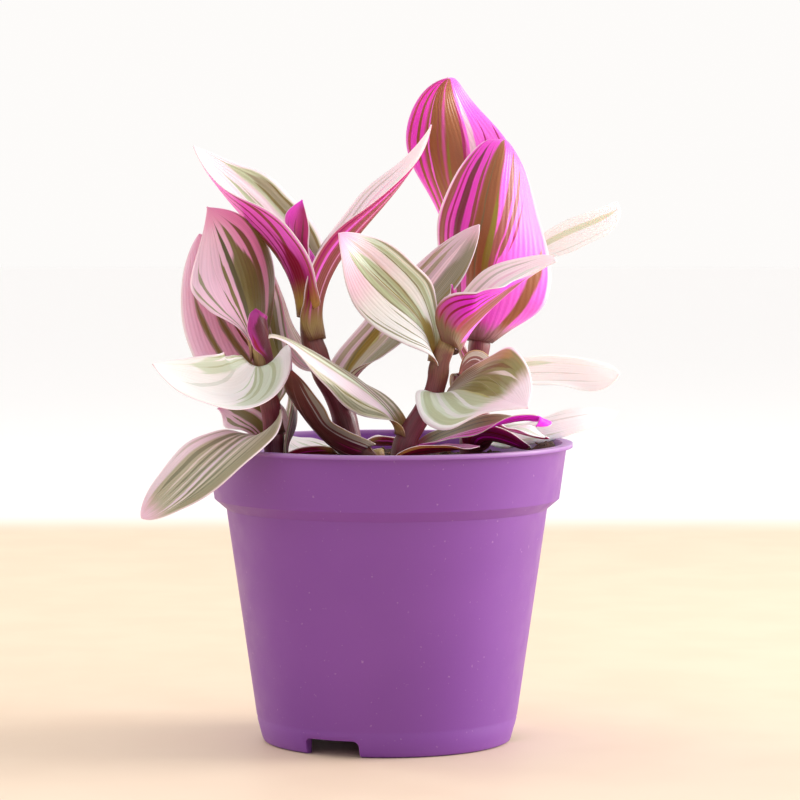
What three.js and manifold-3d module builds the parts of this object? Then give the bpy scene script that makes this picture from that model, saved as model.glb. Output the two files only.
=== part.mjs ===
// A potted tradescantia: a thin plastic nursery pot filled with soil, six fleshy stems that stand in
// holes in the soil, and the leaves that clasp them. Millimetres, +Z up. The origin is on the pot's
// axis, on the surface that the pot stands on. The side that faces a viewer is toward -Y.
import * as THREE from 'three';
import { mergeVertices } from 'three/addons/utils/BufferGeometryUtils.js';
import Module from 'manifold-3d';

const wasm = await Module();
wasm.setup();

// Pot
const POT_FOOT_RADIUS = 35.5;
const POT_SEAM_RADIUS = 36.9;
const POT_SEAM_HEIGHT = 6.9;
const POT_NECK_RADIUS = 45.4;
const POT_NECK_HEIGHT = 66;
const POT_INNER_NECK_HEIGHT = 67;
const POT_BAND_LOW_RADIUS = 48.8;
const POT_BAND_LOW_HEIGHT = 68.9;
const POT_INNER_BAND_HEIGHT = 69.9;
const POT_BAND_TOP_RADIUS = 50.8;
const POT_LIP_RADIUS = 52.5;
const POT_LIP_THICKNESS = 1.1;
const POT_HEIGHT = 84.5;
const POT_WALL = 1.2;
const POT_FLOOR_HEIGHT = 4.7;
const POT_FOOT_RING_WIDTH = 3.2;
const POT_CORNER = 1.4;
const POT_SEGMENTS = 48;

// Drainage notches through the foot ring
const NOTCH_COUNT = 3;
const NOTCH_WIDTH = 16.3;
const NOTCH_FIRST_ANGLE = -115.3;
const NOTCH_DEPTH = 5.6;

// Soil
const SOIL_LEVEL = 78.6;
const SOIL_GAP = 0.35;
const HEAP_HEIGHT = 6.5;
const HEAP_X = 46;
const HEAP_Y = -3;
const HEAP_SPREAD = 45;
const SOIL_SECTORS = 48;
const SOIL_RINGS = [47.6, 42, 34, 25, 15, 6];
const STEM_ROOT_DEPTH = 10;

// Stems and leaves
const STEM_SIDES = 10;
const STEM_STEPS = 10;
const LEAF_THICKNESS = 0.7;
const LEAF_GAP = 0.35;
const LEAF_COLUMNS = 6;
const LEAF_ROWS = 10;
const ROW_CROWDING = 1.3;
const TIP_HALF_WIDTH = 0.4;
const SPINE_STEPS = 60;
const SECTION_STEPS = 16;

const COLOURS = {
  pot: 0x8b58a0,
  soil: 0x3a2a22,
  stem: 0x6e3c3c,
  pink: 0xe59bb8,
  pale: 0xdfe3cf,
  magenta: 0xd94fc0,
  olive: 0x8f9468,
};

function smoothStep(x, low, high) {
  const t = THREE.MathUtils.clamp((x - low) / (high - low), 0, 1);
  return t * t * (3 - 2 * t);
}

function vector(values) {
  return new THREE.Vector3(...values);
}

function solidMesh(name, geometry, colour, roughness) {
  const material = new THREE.MeshStandardMaterial({ color: colour, roughness, metalness: 0 });
  const mesh = new THREE.Mesh(geometry, material);
  mesh.name = name;
  return mesh;
}

function weld(geometry) {
  const bare = geometry.clone();
  bare.deleteAttribute('normal');
  bare.deleteAttribute('uv');
  return mergeVertices(bare, 1e-4);
}

function toSolid(geometry) {
  const welded = weld(geometry);
  return new wasm.Manifold(new wasm.Mesh({
    numProp: 3,
    vertProperties: new Float32Array(welded.attributes.position.array),
    triVerts: new Uint32Array(welded.index.array),
  }));
}

function fromSolid(solid) {
  const mesh = solid.getMesh();
  const geometry = new THREE.BufferGeometry();
  geometry.setAttribute('position', new THREE.BufferAttribute(new Float32Array(mesh.vertProperties), 3));
  geometry.setIndex(new THREE.BufferAttribute(new Uint32Array(mesh.triVerts), 1));
  return geometry;
}

// A stem is a curve through a few joints, a little thicker at each joint and slimmer toward its top.
class Stem {
  constructor({ joints, baseRadius, topRadius }) {
    this.curve = new THREE.CatmullRomCurve3(joints.map(vector), false, 'catmullrom', 0.5);
    this.baseRadius = baseRadius;
    this.topRadius = topRadius;
  }

  point(along) {
    return this.curve.getPointAt(along);
  }

  axis(along) {
    return this.curve.getTangentAt(along).normalize();
  }

  radius(along) {
    return THREE.MathUtils.lerp(this.baseRadius, this.topRadius, along);
  }
}

// A closed tube along the stem: a cylinder whose rings are laid along the curve.
function stemGeometry(stem, extraRadius = 0) {
  const geometry = weld(new THREE.CylinderGeometry(1, 1, 1, STEM_SIDES, STEM_STEPS));
  const position = geometry.attributes.position;
  const forward = new THREE.Vector3(0, 1, 0);
  for (let i = 0; i < position.count; i += 1) {
    const along = THREE.MathUtils.clamp(position.getY(i) + 0.5, 0, 1);
    const root = along < 1e-3 ? STEM_ROOT_DEPTH + extraRadius : 0;
    const axis = stem.axis(along);
    const right = new THREE.Vector3().crossVectors(axis, forward).normalize();
    const back = new THREE.Vector3().crossVectors(axis, right);
    const radius = stem.radius(along) + extraRadius;
    const place = stem.point(along)
      .addScaledVector(right, -position.getX(i) * radius)
      .addScaledVector(back, position.getZ(i) * radius);
    position.setXYZ(i, place.x, place.y, place.z - root);
  }
  return geometry;
}

// The spine of a leaf with the direction of its upper face carried along it without twisting.
class Spine {
  constructor(start, bend, knee, tip, face) {
    const curve = new THREE.CubicBezierCurve3(start, bend, knee, tip);
    this.points = [];
    this.tangents = [];
    this.faces = [];
    this.lengths = [0];
    let carried = face.clone();
    for (let i = 0; i <= SPINE_STEPS; i += 1) {
      const point = curve.getPoint(i / SPINE_STEPS);
      const tangent = curve.getTangent(i / SPINE_STEPS);
      carried = carried.clone().addScaledVector(tangent, -carried.dot(tangent)).normalize();
      if (i > 0) {
        this.lengths.push(this.lengths[i - 1] + point.distanceTo(this.points[i - 1]));
      }
      this.points.push(point);
      this.tangents.push(tangent);
      this.faces.push(carried);
    }
    this.length = this.lengths[SPINE_STEPS];
  }

  at(along) {
    const reach = along * this.length;
    let step = 0;
    while (step < SPINE_STEPS - 1 && this.lengths[step + 1] < reach) {
      step += 1;
    }
    const share = (reach - this.lengths[step]) / (this.lengths[step + 1] - this.lengths[step]);
    const point = this.points[step].clone().lerp(this.points[step + 1], share);
    const tangent = this.tangents[step].clone().lerp(this.tangents[step + 1], share).normalize();
    const face = this.faces[step].clone().lerp(this.faces[step + 1], share);
    face.addScaledVector(tangent, -face.dot(tangent)).normalize();
    return { point, tangent, face };
  }
}

// The middle surface of a leaf: (across, along) gives a point, with across from -1 to 1 and along from
// 0 at the stem to 1 at the tip. The base clasps the stem as an open sheath and spreads into a blade
// with a fold on each side of the midrib.
function leafSurface(leaf) {
  const stem = stems[leaf.stem];
  const axis = stem.axis(leaf.at);
  const angle = THREE.MathUtils.degToRad(leaf.side);
  const outward = new THREE.Vector3(Math.cos(angle), Math.sin(angle), 0);
  outward.addScaledVector(axis, -outward.dot(axis)).normalize();
  const sheathRadius = stem.radius(leaf.at) + LEAF_GAP + LEAF_THICKNESS / 2;
  const start = stem.point(leaf.at).addScaledVector(outward, sheathRadius);
  const bend = start.clone().addScaledVector(axis, leaf.launch);
  const spine = new Spine(start, bend, vector(leaf.knee), vector(leaf.tip), outward.clone().negate());
  const rise = leaf.taper * leaf.widest / (1 - leaf.widest);

  return (across, along) => {
    const { point, tangent, face } = spine.at(along);
    const turn = leaf.roll * smoothStep(along, 0.05, 0.6) + leaf.twist * smoothStep(along, 0.4, 1);
    const upper = face.applyAxisAngle(tangent, THREE.MathUtils.degToRad(turn));
    const side = new THREE.Vector3().crossVectors(tangent, upper);

    const shape = Math.max(along, 1e-4) / leaf.widest;
    const close = (1 - along) / (1 - leaf.widest);
    const blade = (leaf.width / 2) * shape ** rise * close ** leaf.taper;
    const sheath = sheathRadius * leaf.wrap * Math.max(1 - along / leaf.opening, 0) ** 1.2;
    const halfWidth = Math.max(Math.hypot(sheath, blade), TIP_HALF_WIDTH);

    const spread = smoothStep(along, 0.02, leaf.opening);
    const ease = 1 - 0.4 * smoothStep(along, 0.55, 1);
    const fold = across < 0 ? leaf.foldLeft : leaf.foldRight;
    const slope = (f) => leaf.wrap * (1 - spread) * f + spread * ease * (fold * f ** 0.35 - leaf.curl * f ** 3);
    const reach = Math.abs(across);
    let out = 0;
    let up = 0;
    for (let i = 0; i < SECTION_STEPS; i += 1) {
      const middle = slope((i + 0.5) / SECTION_STEPS * reach);
      out += Math.cos(middle) * reach / SECTION_STEPS;
      up += Math.sin(middle) * reach / SECTION_STEPS;
    }
    const lobe = across < 0 ? leaf.lobeLeft : leaf.lobeRight;
    const back = lobe * (1 - smoothStep(along, 0, 0.45)) * smoothStep(along, 0, 0.12) * reach ** 1.5;
    return point
      .addScaledVector(side, Math.sign(across) * out * halfWidth)
      .addScaledVector(upper, up * halfWidth)
      .addScaledVector(tangent, -back);
  };
}

// A closed blade: the middle surface moved half the thickness to each side, with both faces split
// into triangles alike.
function leafGeometry(leaf, thickness = LEAF_THICKNESS) {
  const surface = leafSurface(leaf);
  const wide = LEAF_COLUMNS + 1;
  const middle = [];
  for (let row = 0; row <= LEAF_ROWS; row += 1) {
    for (let column = 0; column <= LEAF_COLUMNS; column += 1) {
      middle.push(surface(column / LEAF_COLUMNS * 2 - 1, 1 - (1 - row / LEAF_ROWS) ** ROW_CROWDING));
    }
  }
  const at = (column, row) => middle[
    THREE.MathUtils.clamp(row, 0, LEAF_ROWS) * wide + THREE.MathUtils.clamp(column, 0, LEAF_COLUMNS)];
  const positions = [];
  for (const face of [1, -1]) {
    for (let row = 0; row <= LEAF_ROWS; row += 1) {
      for (let column = 0; column <= LEAF_COLUMNS; column += 1) {
        const across = at(column + 1, row).clone().sub(at(column - 1, row));
        const along = at(column, row + 1).clone().sub(at(column, row - 1));
        const normal = across.cross(along).normalize();
        const place = at(column, row).clone().addScaledVector(normal, face * thickness / 2);
        positions.push(place.x, place.y, place.z);
      }
    }
  }
  const lower = wide * (LEAF_ROWS + 1);
  const index = [];
  for (let row = 0; row < LEAF_ROWS; row += 1) {
    for (let column = 0; column < LEAF_COLUMNS; column += 1) {
      const a = row * wide + column;
      const [b, c, d] = [a + 1, a + wide + 1, a + wide];
      index.push(a, b, c, a, c, d);
      index.push(lower + a, lower + c, lower + b, lower + a, lower + d, lower + c);
    }
  }
  const rim = [];
  for (let column = 0; column < LEAF_COLUMNS; column += 1) rim.push(column);
  for (let row = 0; row < LEAF_ROWS; row += 1) rim.push(row * wide + LEAF_COLUMNS);
  for (let column = LEAF_COLUMNS; column > 0; column -= 1) rim.push(LEAF_ROWS * wide + column);
  for (let row = LEAF_ROWS; row > 0; row -= 1) rim.push(row * wide);
  rim.forEach((a, i) => {
    const b = rim[(i + 1) % rim.length];
    index.push(a, lower + a, lower + b, a, lower + b, b);
  });
  const geometry = new THREE.BufferGeometry();
  geometry.setAttribute('position', new THREE.Float32BufferAttribute(positions, 3));
  geometry.setIndex(index);
  return geometry;
}

// The pot is one turned wall with a floor held up inside its foot ring, and three notches let water out.
function potGeometry() {
  const outer = [
    [POT_FOOT_RADIUS - POT_CORNER, 0],
    [POT_FOOT_RADIUS - 0.3 * POT_CORNER, 0.3 * POT_CORNER],
    [POT_FOOT_RADIUS, POT_CORNER],
    [POT_SEAM_RADIUS, POT_SEAM_HEIGHT],
    [POT_NECK_RADIUS, POT_NECK_HEIGHT],
    [POT_BAND_LOW_RADIUS, POT_BAND_LOW_HEIGHT],
    [POT_BAND_TOP_RADIUS, POT_HEIGHT - POT_LIP_THICKNESS],
    [POT_LIP_RADIUS, POT_HEIGHT - POT_LIP_THICKNESS],
    [POT_LIP_RADIUS, POT_HEIGHT],
  ];
  const inner = [
    [POT_BAND_TOP_RADIUS - POT_WALL, POT_HEIGHT],
    [POT_BAND_LOW_RADIUS - POT_WALL, POT_INNER_BAND_HEIGHT],
    [POT_NECK_RADIUS - POT_WALL, POT_INNER_NECK_HEIGHT],
    [POT_SEAM_RADIUS - POT_WALL, POT_SEAM_HEIGHT],
    [0, POT_SEAM_HEIGHT - 1],
  ];
  const underside = [
    [0, POT_FLOOR_HEIGHT],
    [POT_FOOT_RADIUS - POT_FOOT_RING_WIDTH, POT_FLOOR_HEIGHT],
    [POT_FOOT_RADIUS - POT_FOOT_RING_WIDTH, 0],
  ];
  const profile = [...underside, ...outer, ...inner].map(([r, z]) => new THREE.Vector2(r, z));
  const lathe = new THREE.LatheGeometry(profile, POT_SEGMENTS);
  lathe.rotateX(Math.PI / 2);
  let pot = toSolid(lathe);
  for (let i = 0; i < NOTCH_COUNT; i += 1) {
    const notch = new THREE.BoxGeometry(2 * NOTCH_DEPTH, NOTCH_WIDTH, 2 * POT_FLOOR_HEIGHT);
    notch.translate(POT_FOOT_RADIUS, 0, 0);
    notch.rotateZ(THREE.MathUtils.degToRad(NOTCH_FIRST_ANGLE + i * 360 / NOTCH_COUNT));
    pot = pot.subtract(toSolid(notch));
  }
  return fromSolid(pot);
}

// Height of the soil: low clods and a heap at the right edge.
function soilHeight(x, y) {
  const clods = 0.5 * Math.sin(0.31 * x + 1.3) * Math.cos(0.27 * y) + 0.35 * Math.sin(0.61 * y - 0.4 * x);
  const heap = HEAP_HEIGHT * Math.exp(-((x - HEAP_X) ** 2 + (y - HEAP_Y) ** 2) / HEAP_SPREAD);
  return SOIL_LEVEL + clods + heap;
}

function soilGeometry(stemList) {
  const inset = POT_WALL + SOIL_GAP;
  const profile = [
    [0, POT_SEAM_HEIGHT + SOIL_GAP],
    [POT_SEAM_RADIUS - inset, POT_SEAM_HEIGHT + SOIL_GAP],
    [POT_NECK_RADIUS - inset, POT_INNER_NECK_HEIGHT + SOIL_GAP],
    [POT_BAND_LOW_RADIUS - inset, POT_INNER_BAND_HEIGHT + SOIL_GAP],
    ...SOIL_RINGS.map((radius) => [radius, SOIL_LEVEL]),
    [0, SOIL_LEVEL],
  ].map(([r, z]) => new THREE.Vector2(r, z));
  const lathe = new THREE.LatheGeometry(profile, SOIL_SECTORS);
  lathe.rotateX(Math.PI / 2);
  const geometry = weld(lathe);
  const position = geometry.attributes.position;
  for (let i = 0; i < position.count; i += 1) {
    if (position.getZ(i) > SOIL_LEVEL - 0.1) {
      position.setZ(i, soilHeight(position.getX(i), position.getY(i)));
    }
  }
  let soil = toSolid(geometry);
  for (const stem of stemList) {
    soil = soil.subtract(toSolid(stemGeometry(stem, SOIL_GAP)));
  }
  return fromSolid(soil);
}

// Joints of each stem from the soil up. The tube goes on straight down into the soil below the first.
const stems = {
  left: new Stem({
    joints: [[-30.5, -22, 76], [-31.5, -22, 89.5], [-32.5, -22.5, 98], [-34, -23, 106], [-35, -24, 113]],
    baseRadius: 2.9,
    topRadius: 2.3,
  }),
  centre: new Stem({
    joints: [
      [-8.5, -6, 76], [-11, -6, 88.5], [-14, -5.5, 97], [-18, -5, 105], [-21, -4, 113.5],
      [-21.5, -3, 120.5], [-22, -2, 125.5],
    ],
    baseRadius: 3.4,
    topRadius: 2.9,
  }),
  right: new Stem({
    joints: [
      [3, -20, 76], [5, -20, 85], [8, -19, 91], [12, -18, 97], [14, -18, 103], [15, -18, 108.5],
      [18, -17, 115.5],
    ],
    baseRadius: 3.2,
    topRadius: 2.5,
  }),
  front: new Stem({
    joints: [[-1.5, -27, 76], [-3, -27, 84]],
    baseRadius: 2.6,
    topRadius: 2.3,
  }),
  back: new Stem({
    joints: [
      [24, 16, 72], [24.5, 16, 87], [25, 16, 100], [26.5, 17, 111.5], [28, 19, 120], [29.5, 22, 128.5],
    ],
    baseRadius: 3.4,
    topRadius: 2.6,
  }),
  rear: new Stem({
    joints: [
      [24, 31, 71], [25, 32, 85.5], [26, 33, 99], [27, 33, 110.5], [28, 34, 122], [30, 35, 132],
    ],
    baseRadius: 2.7,
    topRadius: 2.2,
  }),
};

// Values that most leaves share.
const LEAF_DEFAULTS = {
  wrap: 2,
  opening: 0.28,
  roll: 0,
  twist: 0,
  foldLeft: 0.4,
  foldRight: 0.4,
  curl: 0.1,
  widest: 0.4,
  taper: 1,
  lobeLeft: 1,
  lobeRight: 1,
};

// Each leaf: the stem it clasps, where along it (0 soil, 1 top) and on which side (degrees from +X
// toward +Y), how far it follows the stem, the knee and tip of its spine, its width, how far the blade
// rolls and twists (degrees), the fold of each half (radians), and the lobes at its base.
const leaves = [
  {
    name: 'left_leaf_tall', stem: 'left', colour: 'pink',
    at: 0.9, side: 155, launch: 1, knee: [-35, -5, 133], tip: [-50, -13, 151], width: 33,
    roll: -30, twist: -30, foldLeft: -0.3, foldRight: -0.45, curl: 0.25, widest: 0.45, taper: 1.1,
    lobeLeft: 2.5, lobeRight: 4, wrap: 1.0,
  },
  {
    name: 'left_leaf_outer', stem: 'left', colour: 'pink',
    at: 0.6, side: 115, launch: 2.5, knee: [-42, -2, 103], tip: [-52.5, -7, 143.5], width: 27.5,
    roll: 5, twist: -20, foldLeft: 0, foldRight: -0.1, curl: 0.25, taper: 0.8, wrap: 0.8,
  },
  {
    name: 'left_leaf_behind', stem: 'left', colour: 'olive',
    at: 0.5, side: 95, launch: 1.5, knee: [-35, 10, 100], tip: [-38, 3.5, 144], width: 17.5,
    roll: -20, twist: 35, foldLeft: 0.1, curl: 0.15, taper: 1.05, lobeLeft: 0.5, wrap: 0.8,
  },
  {
    name: 'left_leaf_white', stem: 'left', colour: 'pale',
    at: 0.83, side: -111, launch: 6, knee: [-32.5, -36.5, 88], tip: [-63, -45.5, 109], width: 23.5,
    roll: -24, twist: -4, foldLeft: 0.8, foldRight: 0.55, curl: -0.15, widest: 0.38, taper: 0.9,
    lobeLeft: 11, lobeRight: 2, wrap: 1.05,
  },
  {
    name: 'left_leaf_drooping', stem: 'left', colour: 'olive',
    at: 0.34, side: -75, launch: 1, knee: [-36, -50, 93], tip: [-66, -48, 67.5], width: 19,
    roll: -35, twist: -25, foldLeft: -0.4, foldRight: 1, curl: 0.15, taper: 0.6, lobeLeft: 1.5,
    lobeRight: 0.5, wrap: 1.2,
  },
  {
    name: 'left_leaf_small', stem: 'left', colour: 'pink',
    at: 0.26, side: 125, launch: 5.5, knee: [-40, -9, 94], tip: [-47.5, -8, 94.5], width: 18.5,
    roll: -20, twist: -5, foldLeft: 0.3, curl: 0.15, wrap: 0.8,
  },
  {
    name: 'left_leaf_low', stem: 'left', colour: 'olive',
    at: 0.16, side: 20, launch: 7, knee: [-22, -12, 86], tip: [-27.5, -5.5, 104], width: 14.5,
    roll: -10, twist: -5, foldLeft: 0.5, foldRight: 0.7, curl: 0.05, taper: 1.1, lobeLeft: 0.5,
    lobeRight: 5, wrap: 0.7,
  },
  {
    name: 'left_bud', stem: 'left', colour: 'magenta',
    at: 0.86, side: -20, launch: 8, knee: [-35, -31, 122], tip: [-36, -24.5, 123], width: 10,
    roll: -15, twist: -20, foldLeft: 0.7, foldRight: 0.8, widest: 0.5, lobeLeft: 0.5, lobeRight: 0,
    wrap: 0.9, opening: 0.3,
  },
  {
    name: 'centre_leaf_left', stem: 'centre', colour: 'magenta',
    at: 0.9, side: -170, launch: 21.5, knee: [-43, -5, 145], tip: [-54, -7.5, 168], width: 36,
    twist: -25, foldLeft: 0.35, foldRight: 1.5, curl: -0.05, taper: 0.9, lobeLeft: 5, lobeRight: 0,
    wrap: 1.3, opening: 0.18,
  },
  {
    name: 'centre_leaf_right', stem: 'centre', colour: 'magenta',
    at: 0.76, side: -25, launch: 25, knee: [7, -3, 151], tip: [12.5, -3, 174], width: 24.5,
    roll: 10, twist: 30, foldLeft: 1.35, foldRight: 0.15, curl: 0, widest: 0.35, taper: 1.05,
    lobeLeft: 0, lobeRight: 0, wrap: 1.4, opening: 0.14,
  },
  {
    name: 'centre_leaf_young', stem: 'centre', colour: 'magenta',
    at: 0.98, side: -55, launch: 19, knee: [-29, -10, 138], tip: [-23.5, -11.5, 153], width: 15,
    roll: 30, twist: 45, foldLeft: 0.6, foldRight: -0.6, curl: 0.35, widest: 0.5, lobeLeft: 0,
    lobeRight: 0, wrap: 0.8, opening: 0.3,
  },
  {
    name: 'centre_leaf_pale', stem: 'centre', colour: 'pale',
    at: 0.6, side: 95, launch: 3.5, knee: [-25, 6, 101], tip: [-33, 6.5, 133.5], width: 8,
    roll: -25, twist: 5, foldLeft: 0.1, foldRight: 1, curl: 0, lobeLeft: 0.5, lobeRight: 1.5,
    wrap: 0.7,
  },
  {
    name: 'centre_leaf_grey', stem: 'centre', colour: 'olive',
    at: 0.34, side: 20, launch: 14, knee: [-2, 2, 103], tip: [26, -2.5, 146], width: 24, roll: 10,
    twist: 30, foldLeft: 0.8, foldRight: 0.15, widest: 0.35, taper: 0.75, lobeLeft: 3.5, lobeRight: 0,
    wrap: 1.2,
  },
  {
    name: 'centre_leaf_soil_left', stem: 'centre', colour: 'pale',
    at: 0.12, side: 145, launch: 1, knee: [-26, 11, 77], tip: [-29.5, 27.5, 84.5], width: 17,
    roll: -20, twist: -15, foldLeft: 0.35, foldRight: 0.2, curl: 0.15, taper: 0.95, wrap: 0.7,
  },
  {
    name: 'centre_leaf_soil_back', stem: 'centre', colour: 'pale',
    at: 0.14, side: 45, launch: 1, knee: [11, 17, 81], tip: [2.5, 23, 84.5], width: 15.5,
    roll: 25, twist: 10, foldLeft: 0.2, foldRight: 0.3, curl: 0.15, wrap: 0.7,
  },
  {
    name: 'right_leaf_left', stem: 'right', colour: 'pale',
    at: 0.8, side: 170, launch: 10, knee: [5, -18, 122], tip: [-13, -33.5, 144], width: 21,
    roll: -70, twist: 40, foldLeft: -0.2, foldRight: 0.65, curl: 0.05, widest: 0.5, taper: 0.85,
    lobeLeft: 7.5, lobeRight: 0, wrap: 1.4,
  },
  {
    name: 'right_leaf_boat', stem: 'right', colour: 'magenta',
    at: 0.93, side: -30, launch: 1.5, knee: [33, -3, 129], tip: [47, -17, 136], width: 33,
    roll: 20, twist: 5, foldLeft: 1.5, foldRight: -0.2, curl: 0.3, widest: 0.35, taper: 0.85,
    lobeRight: 0, wrap: 1.6,
  },
  {
    name: 'right_bud', stem: 'right', colour: 'magenta',
    at: 0.98, side: 60, launch: 1, knee: [21, -10, 119], tip: [18, -14.5, 129.5], width: 6,
    roll: -85, twist: -5, foldLeft: 1, foldRight: 1.05, curl: 0.3, widest: 0.45, lobeLeft: 0,
    lobeRight: 0, wrap: 0.9, opening: 0.5,
  },
  {
    name: 'right_leaf_heart', stem: 'right', colour: 'olive',
    at: 0.6, side: -29, launch: 5.6, knee: [33.5, -45.9, 97.6], tip: [38.3, -48.3, 97.3], width: 33,
    roll: 17, twist: -26, foldLeft: 0.71, foldRight: -0.08, curl: 0.45, widest: 0.4, taper: 0.98,
    lobeLeft: 2.5, lobeRight: 3.1, wrap: 0.9,
  },
  {
    name: 'right_leaf_curled', stem: 'right', colour: 'magenta',
    at: 0.17, side: 0, launch: 6, knee: [54, -29, 97], tip: [40.9, -33, 91.2], width: 18.5, roll: 10,
    twist: -45, foldLeft: 0.15, foldRight: 0.3, curl: 0.2, taper: 0.95, lobeLeft: 0.5, lobeRight: 1.5,
    wrap: 0.9,
  },
  {
    name: 'right_leaf_low', stem: 'right', colour: 'magenta',
    at: 0.12, side: -75, launch: 1, knee: [1, -35, 83], tip: [25.5, -30.5, 85.5], width: 9.5,
    roll: -15, twist: 35, foldLeft: 0.55, foldRight: 0.5, curl: 0, widest: 0.45, lobeLeft: 0,
    lobeRight: 1.5, wrap: 0.6,
  },
  {
    name: 'right_leaf_long', stem: 'right', colour: 'pale',
    at: 0.26, side: -185, launch: 7, knee: [-29, -38, 120.5], tip: [-31.5, -47, 116], width: 18.5,
    roll: 19, twist: 20, foldLeft: -0.7, foldRight: -0.1, curl: 0.45, widest: 0.48, taper: 1.05,
    lobeLeft: 0, lobeRight: 0, wrap: 1.5,
  },
  {
    name: 'front_leaf', stem: 'front', colour: 'magenta',
    at: 0.82, side: -155, launch: 1, knee: [-23, -14, 82], tip: [-26, -30, 106.5], width: 16,
    roll: -15, twist: 30, foldLeft: 0.2, foldRight: 0.7, widest: 0.45, taper: 0.9, lobeLeft: 7,
    lobeRight: 1.5, wrap: 1.3,
  },
  {
    name: 'back_leaf_tall', stem: 'back', colour: 'magenta',
    at: 0.96, side: -115, launch: 15.5, knee: [12, 38, 179], tip: [17.5, 26, 188], width: 33.5,
    roll: -10, twist: 68, foldLeft: 0.2, foldRight: 0.75, curl: 0.05, widest: 0.45, taper: 0.65,
    lobeLeft: 1, lobeRight: 0.5, wrap: 1.6,
  },
  {
    name: 'back_leaf_broad', stem: 'back', colour: 'magenta',
    at: 0.7, side: -114, launch: 2.3, knee: [33.6, 1.7, 177.7], tip: [34.7, 25.4, 168.8], width: 40.9,
    roll: 34, twist: 12, foldLeft: 0.68, foldRight: 1, curl: 0.05, widest: 0.33, taper: 0.95,
    lobeLeft: 0, lobeRight: 7.9, wrap: 1.85, opening: 0.2,
  },
  {
    name: 'back_leaf_small', stem: 'back', colour: 'magenta',
    at: 0.36, side: -100, launch: 7, knee: [28, 13, 109], tip: [20.5, 9, 103.5], width: 14.5,
    roll: 20, foldLeft: 0.5, curl: 0.05, widest: 0.45, taper: 0.95, wrap: 1.0,
  },
  {
    name: 'back_leaf_arched', stem: 'back', colour: 'magenta',
    at: 0.16, side: -60, launch: 6, knee: [35, 0, 83], tip: [41, 5.5, 82], width: 18,
    roll: -15, twist: -5, foldLeft: 0.5, lobeLeft: 3, wrap: 0.8,
  },
  {
    name: 'back_leaf_low', stem: 'back', colour: 'pale',
    at: 0.24, side: -55, launch: 5.5, knee: [47, 4, 83], tip: [45, 1, 86], width: 15.5,
    roll: 40, twist: -10, foldLeft: 0.25, foldRight: 0.45, wrap: 0.8,
  },
  {
    name: 'rear_leaf_upper', stem: 'rear', colour: 'pale',
    at: 0.93, side: 25, launch: 7, knee: [74, 41, 147], tip: [66.5, 24, 150], width: 13,
    roll: 30, foldLeft: 0.6, foldRight: 0.6, curl: -0.1, widest: 0.5, taper: 0.5, wrap: 1.2,
  },
  {
    name: 'rear_leaf_middle', stem: 'rear', colour: 'pale',
    at: 0.42, side: 40, launch: 7.5, knee: [68, 43, 97], tip: [67, 23, 102.5], width: 17.5,
    twist: 35, foldLeft: 0.5, foldRight: 0.6, curl: 0.05, wrap: 1.2,
  },
  {
    name: 'rear_leaf_lower', stem: 'rear', colour: 'olive',
    at: 0.18, side: -20, launch: 1, knee: [54, 7, 94], tip: [67, 29, 91], width: 20,
    roll: 5, twist: 15, foldLeft: -0.2, foldRight: -0.15, curl: 0.35, taper: 1.05, wrap: 1.0,
  },
  {
    name: 'rear_leaf_behind', stem: 'rear', colour: 'pink',
    at: 0.78, side: 100, launch: 6, knee: [17, 47, 149], tip: [35.5, 51.5, 151.5], width: 22,
    roll: 5, foldRight: 0.35, wrap: 0.8,
  },
  {
    name: 'rear_leaf_side', stem: 'rear', colour: 'pink',
    at: 0.5, side: -180, launch: 6, knee: [8, 36, 126], tip: [17.5, 46.5, 130.5], width: 18,
    roll: -10, wrap: 0.8,
  },
];

// Where a leaf would touch its own stem or a neighbour, it is cut back to leave the usual gap: each leaf
// here gives way to the stems and leaves in its list.
const givesWay = {
  right_leaf_heart: ['right'],
  front_leaf: ['front'],
  centre_leaf_left: ['centre'],
  centre_leaf_right: ['centre', 'centre_leaf_left'],
  centre_leaf_young: ['centre_leaf_right', 'centre_leaf_left'],
  left_leaf_tall: ['centre_leaf_left'],
  left_leaf_behind: ['left_leaf_outer'],
  right_bud: ['right_leaf_boat'],
};

// The leaf's solid, cut back from the solids it gives way to. Only its largest piece is kept.
function trimmedLeaf(leaf) {
  const whole = leafGeometry(leaf);
  const others = givesWay[leaf.name] || [];
  if (others.length === 0) return whole;
  let solid = toSolid(whole);
  for (const other of others) {
    const neighbour = leaves.find((entry) => entry.name === other);
    const grown = neighbour
      ? leafGeometry({ ...LEAF_DEFAULTS, ...neighbour, width: neighbour.width + 2 * LEAF_GAP },
        LEAF_THICKNESS + 2 * LEAF_GAP)
      : stemGeometry(stems[other], LEAF_GAP);
    solid = solid.subtract(toSolid(grown));
  }
  const pieces = solid.decompose().sort((a, b) => b.volume() - a.volume());
  return fromSolid(pieces[0]);
}

const part = new THREE.Group();
part.add(solidMesh('pot', potGeometry(), COLOURS.pot, 0.45));
part.add(solidMesh('soil', soilGeometry(Object.values(stems)), COLOURS.soil, 0.95));
for (const [name, stem] of Object.entries(stems)) {
  part.add(solidMesh(`stem_${name}`, stemGeometry(stem), COLOURS.stem, 0.5));
}
for (const leaf of leaves) {
  const geometry = trimmedLeaf({ ...LEAF_DEFAULTS, ...leaf });
  part.add(solidMesh(leaf.name, geometry, COLOURS[leaf.colour], 0.4));
}

export default part;
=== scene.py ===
"""A potted tradescantia: a thin plastic nursery pot, soil, jointed stems and striped leaves.

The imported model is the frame. Everything here is made around it in metres, with the origin on the
pot's axis at the plane of its foot ring, +Z up and the side that faces the viewer toward -Y.
"""

import logging
import math
import random
from dataclasses import dataclass
from enum import Enum

import bmesh
import bpy
from mathutils import Matrix, Vector, noise


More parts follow.
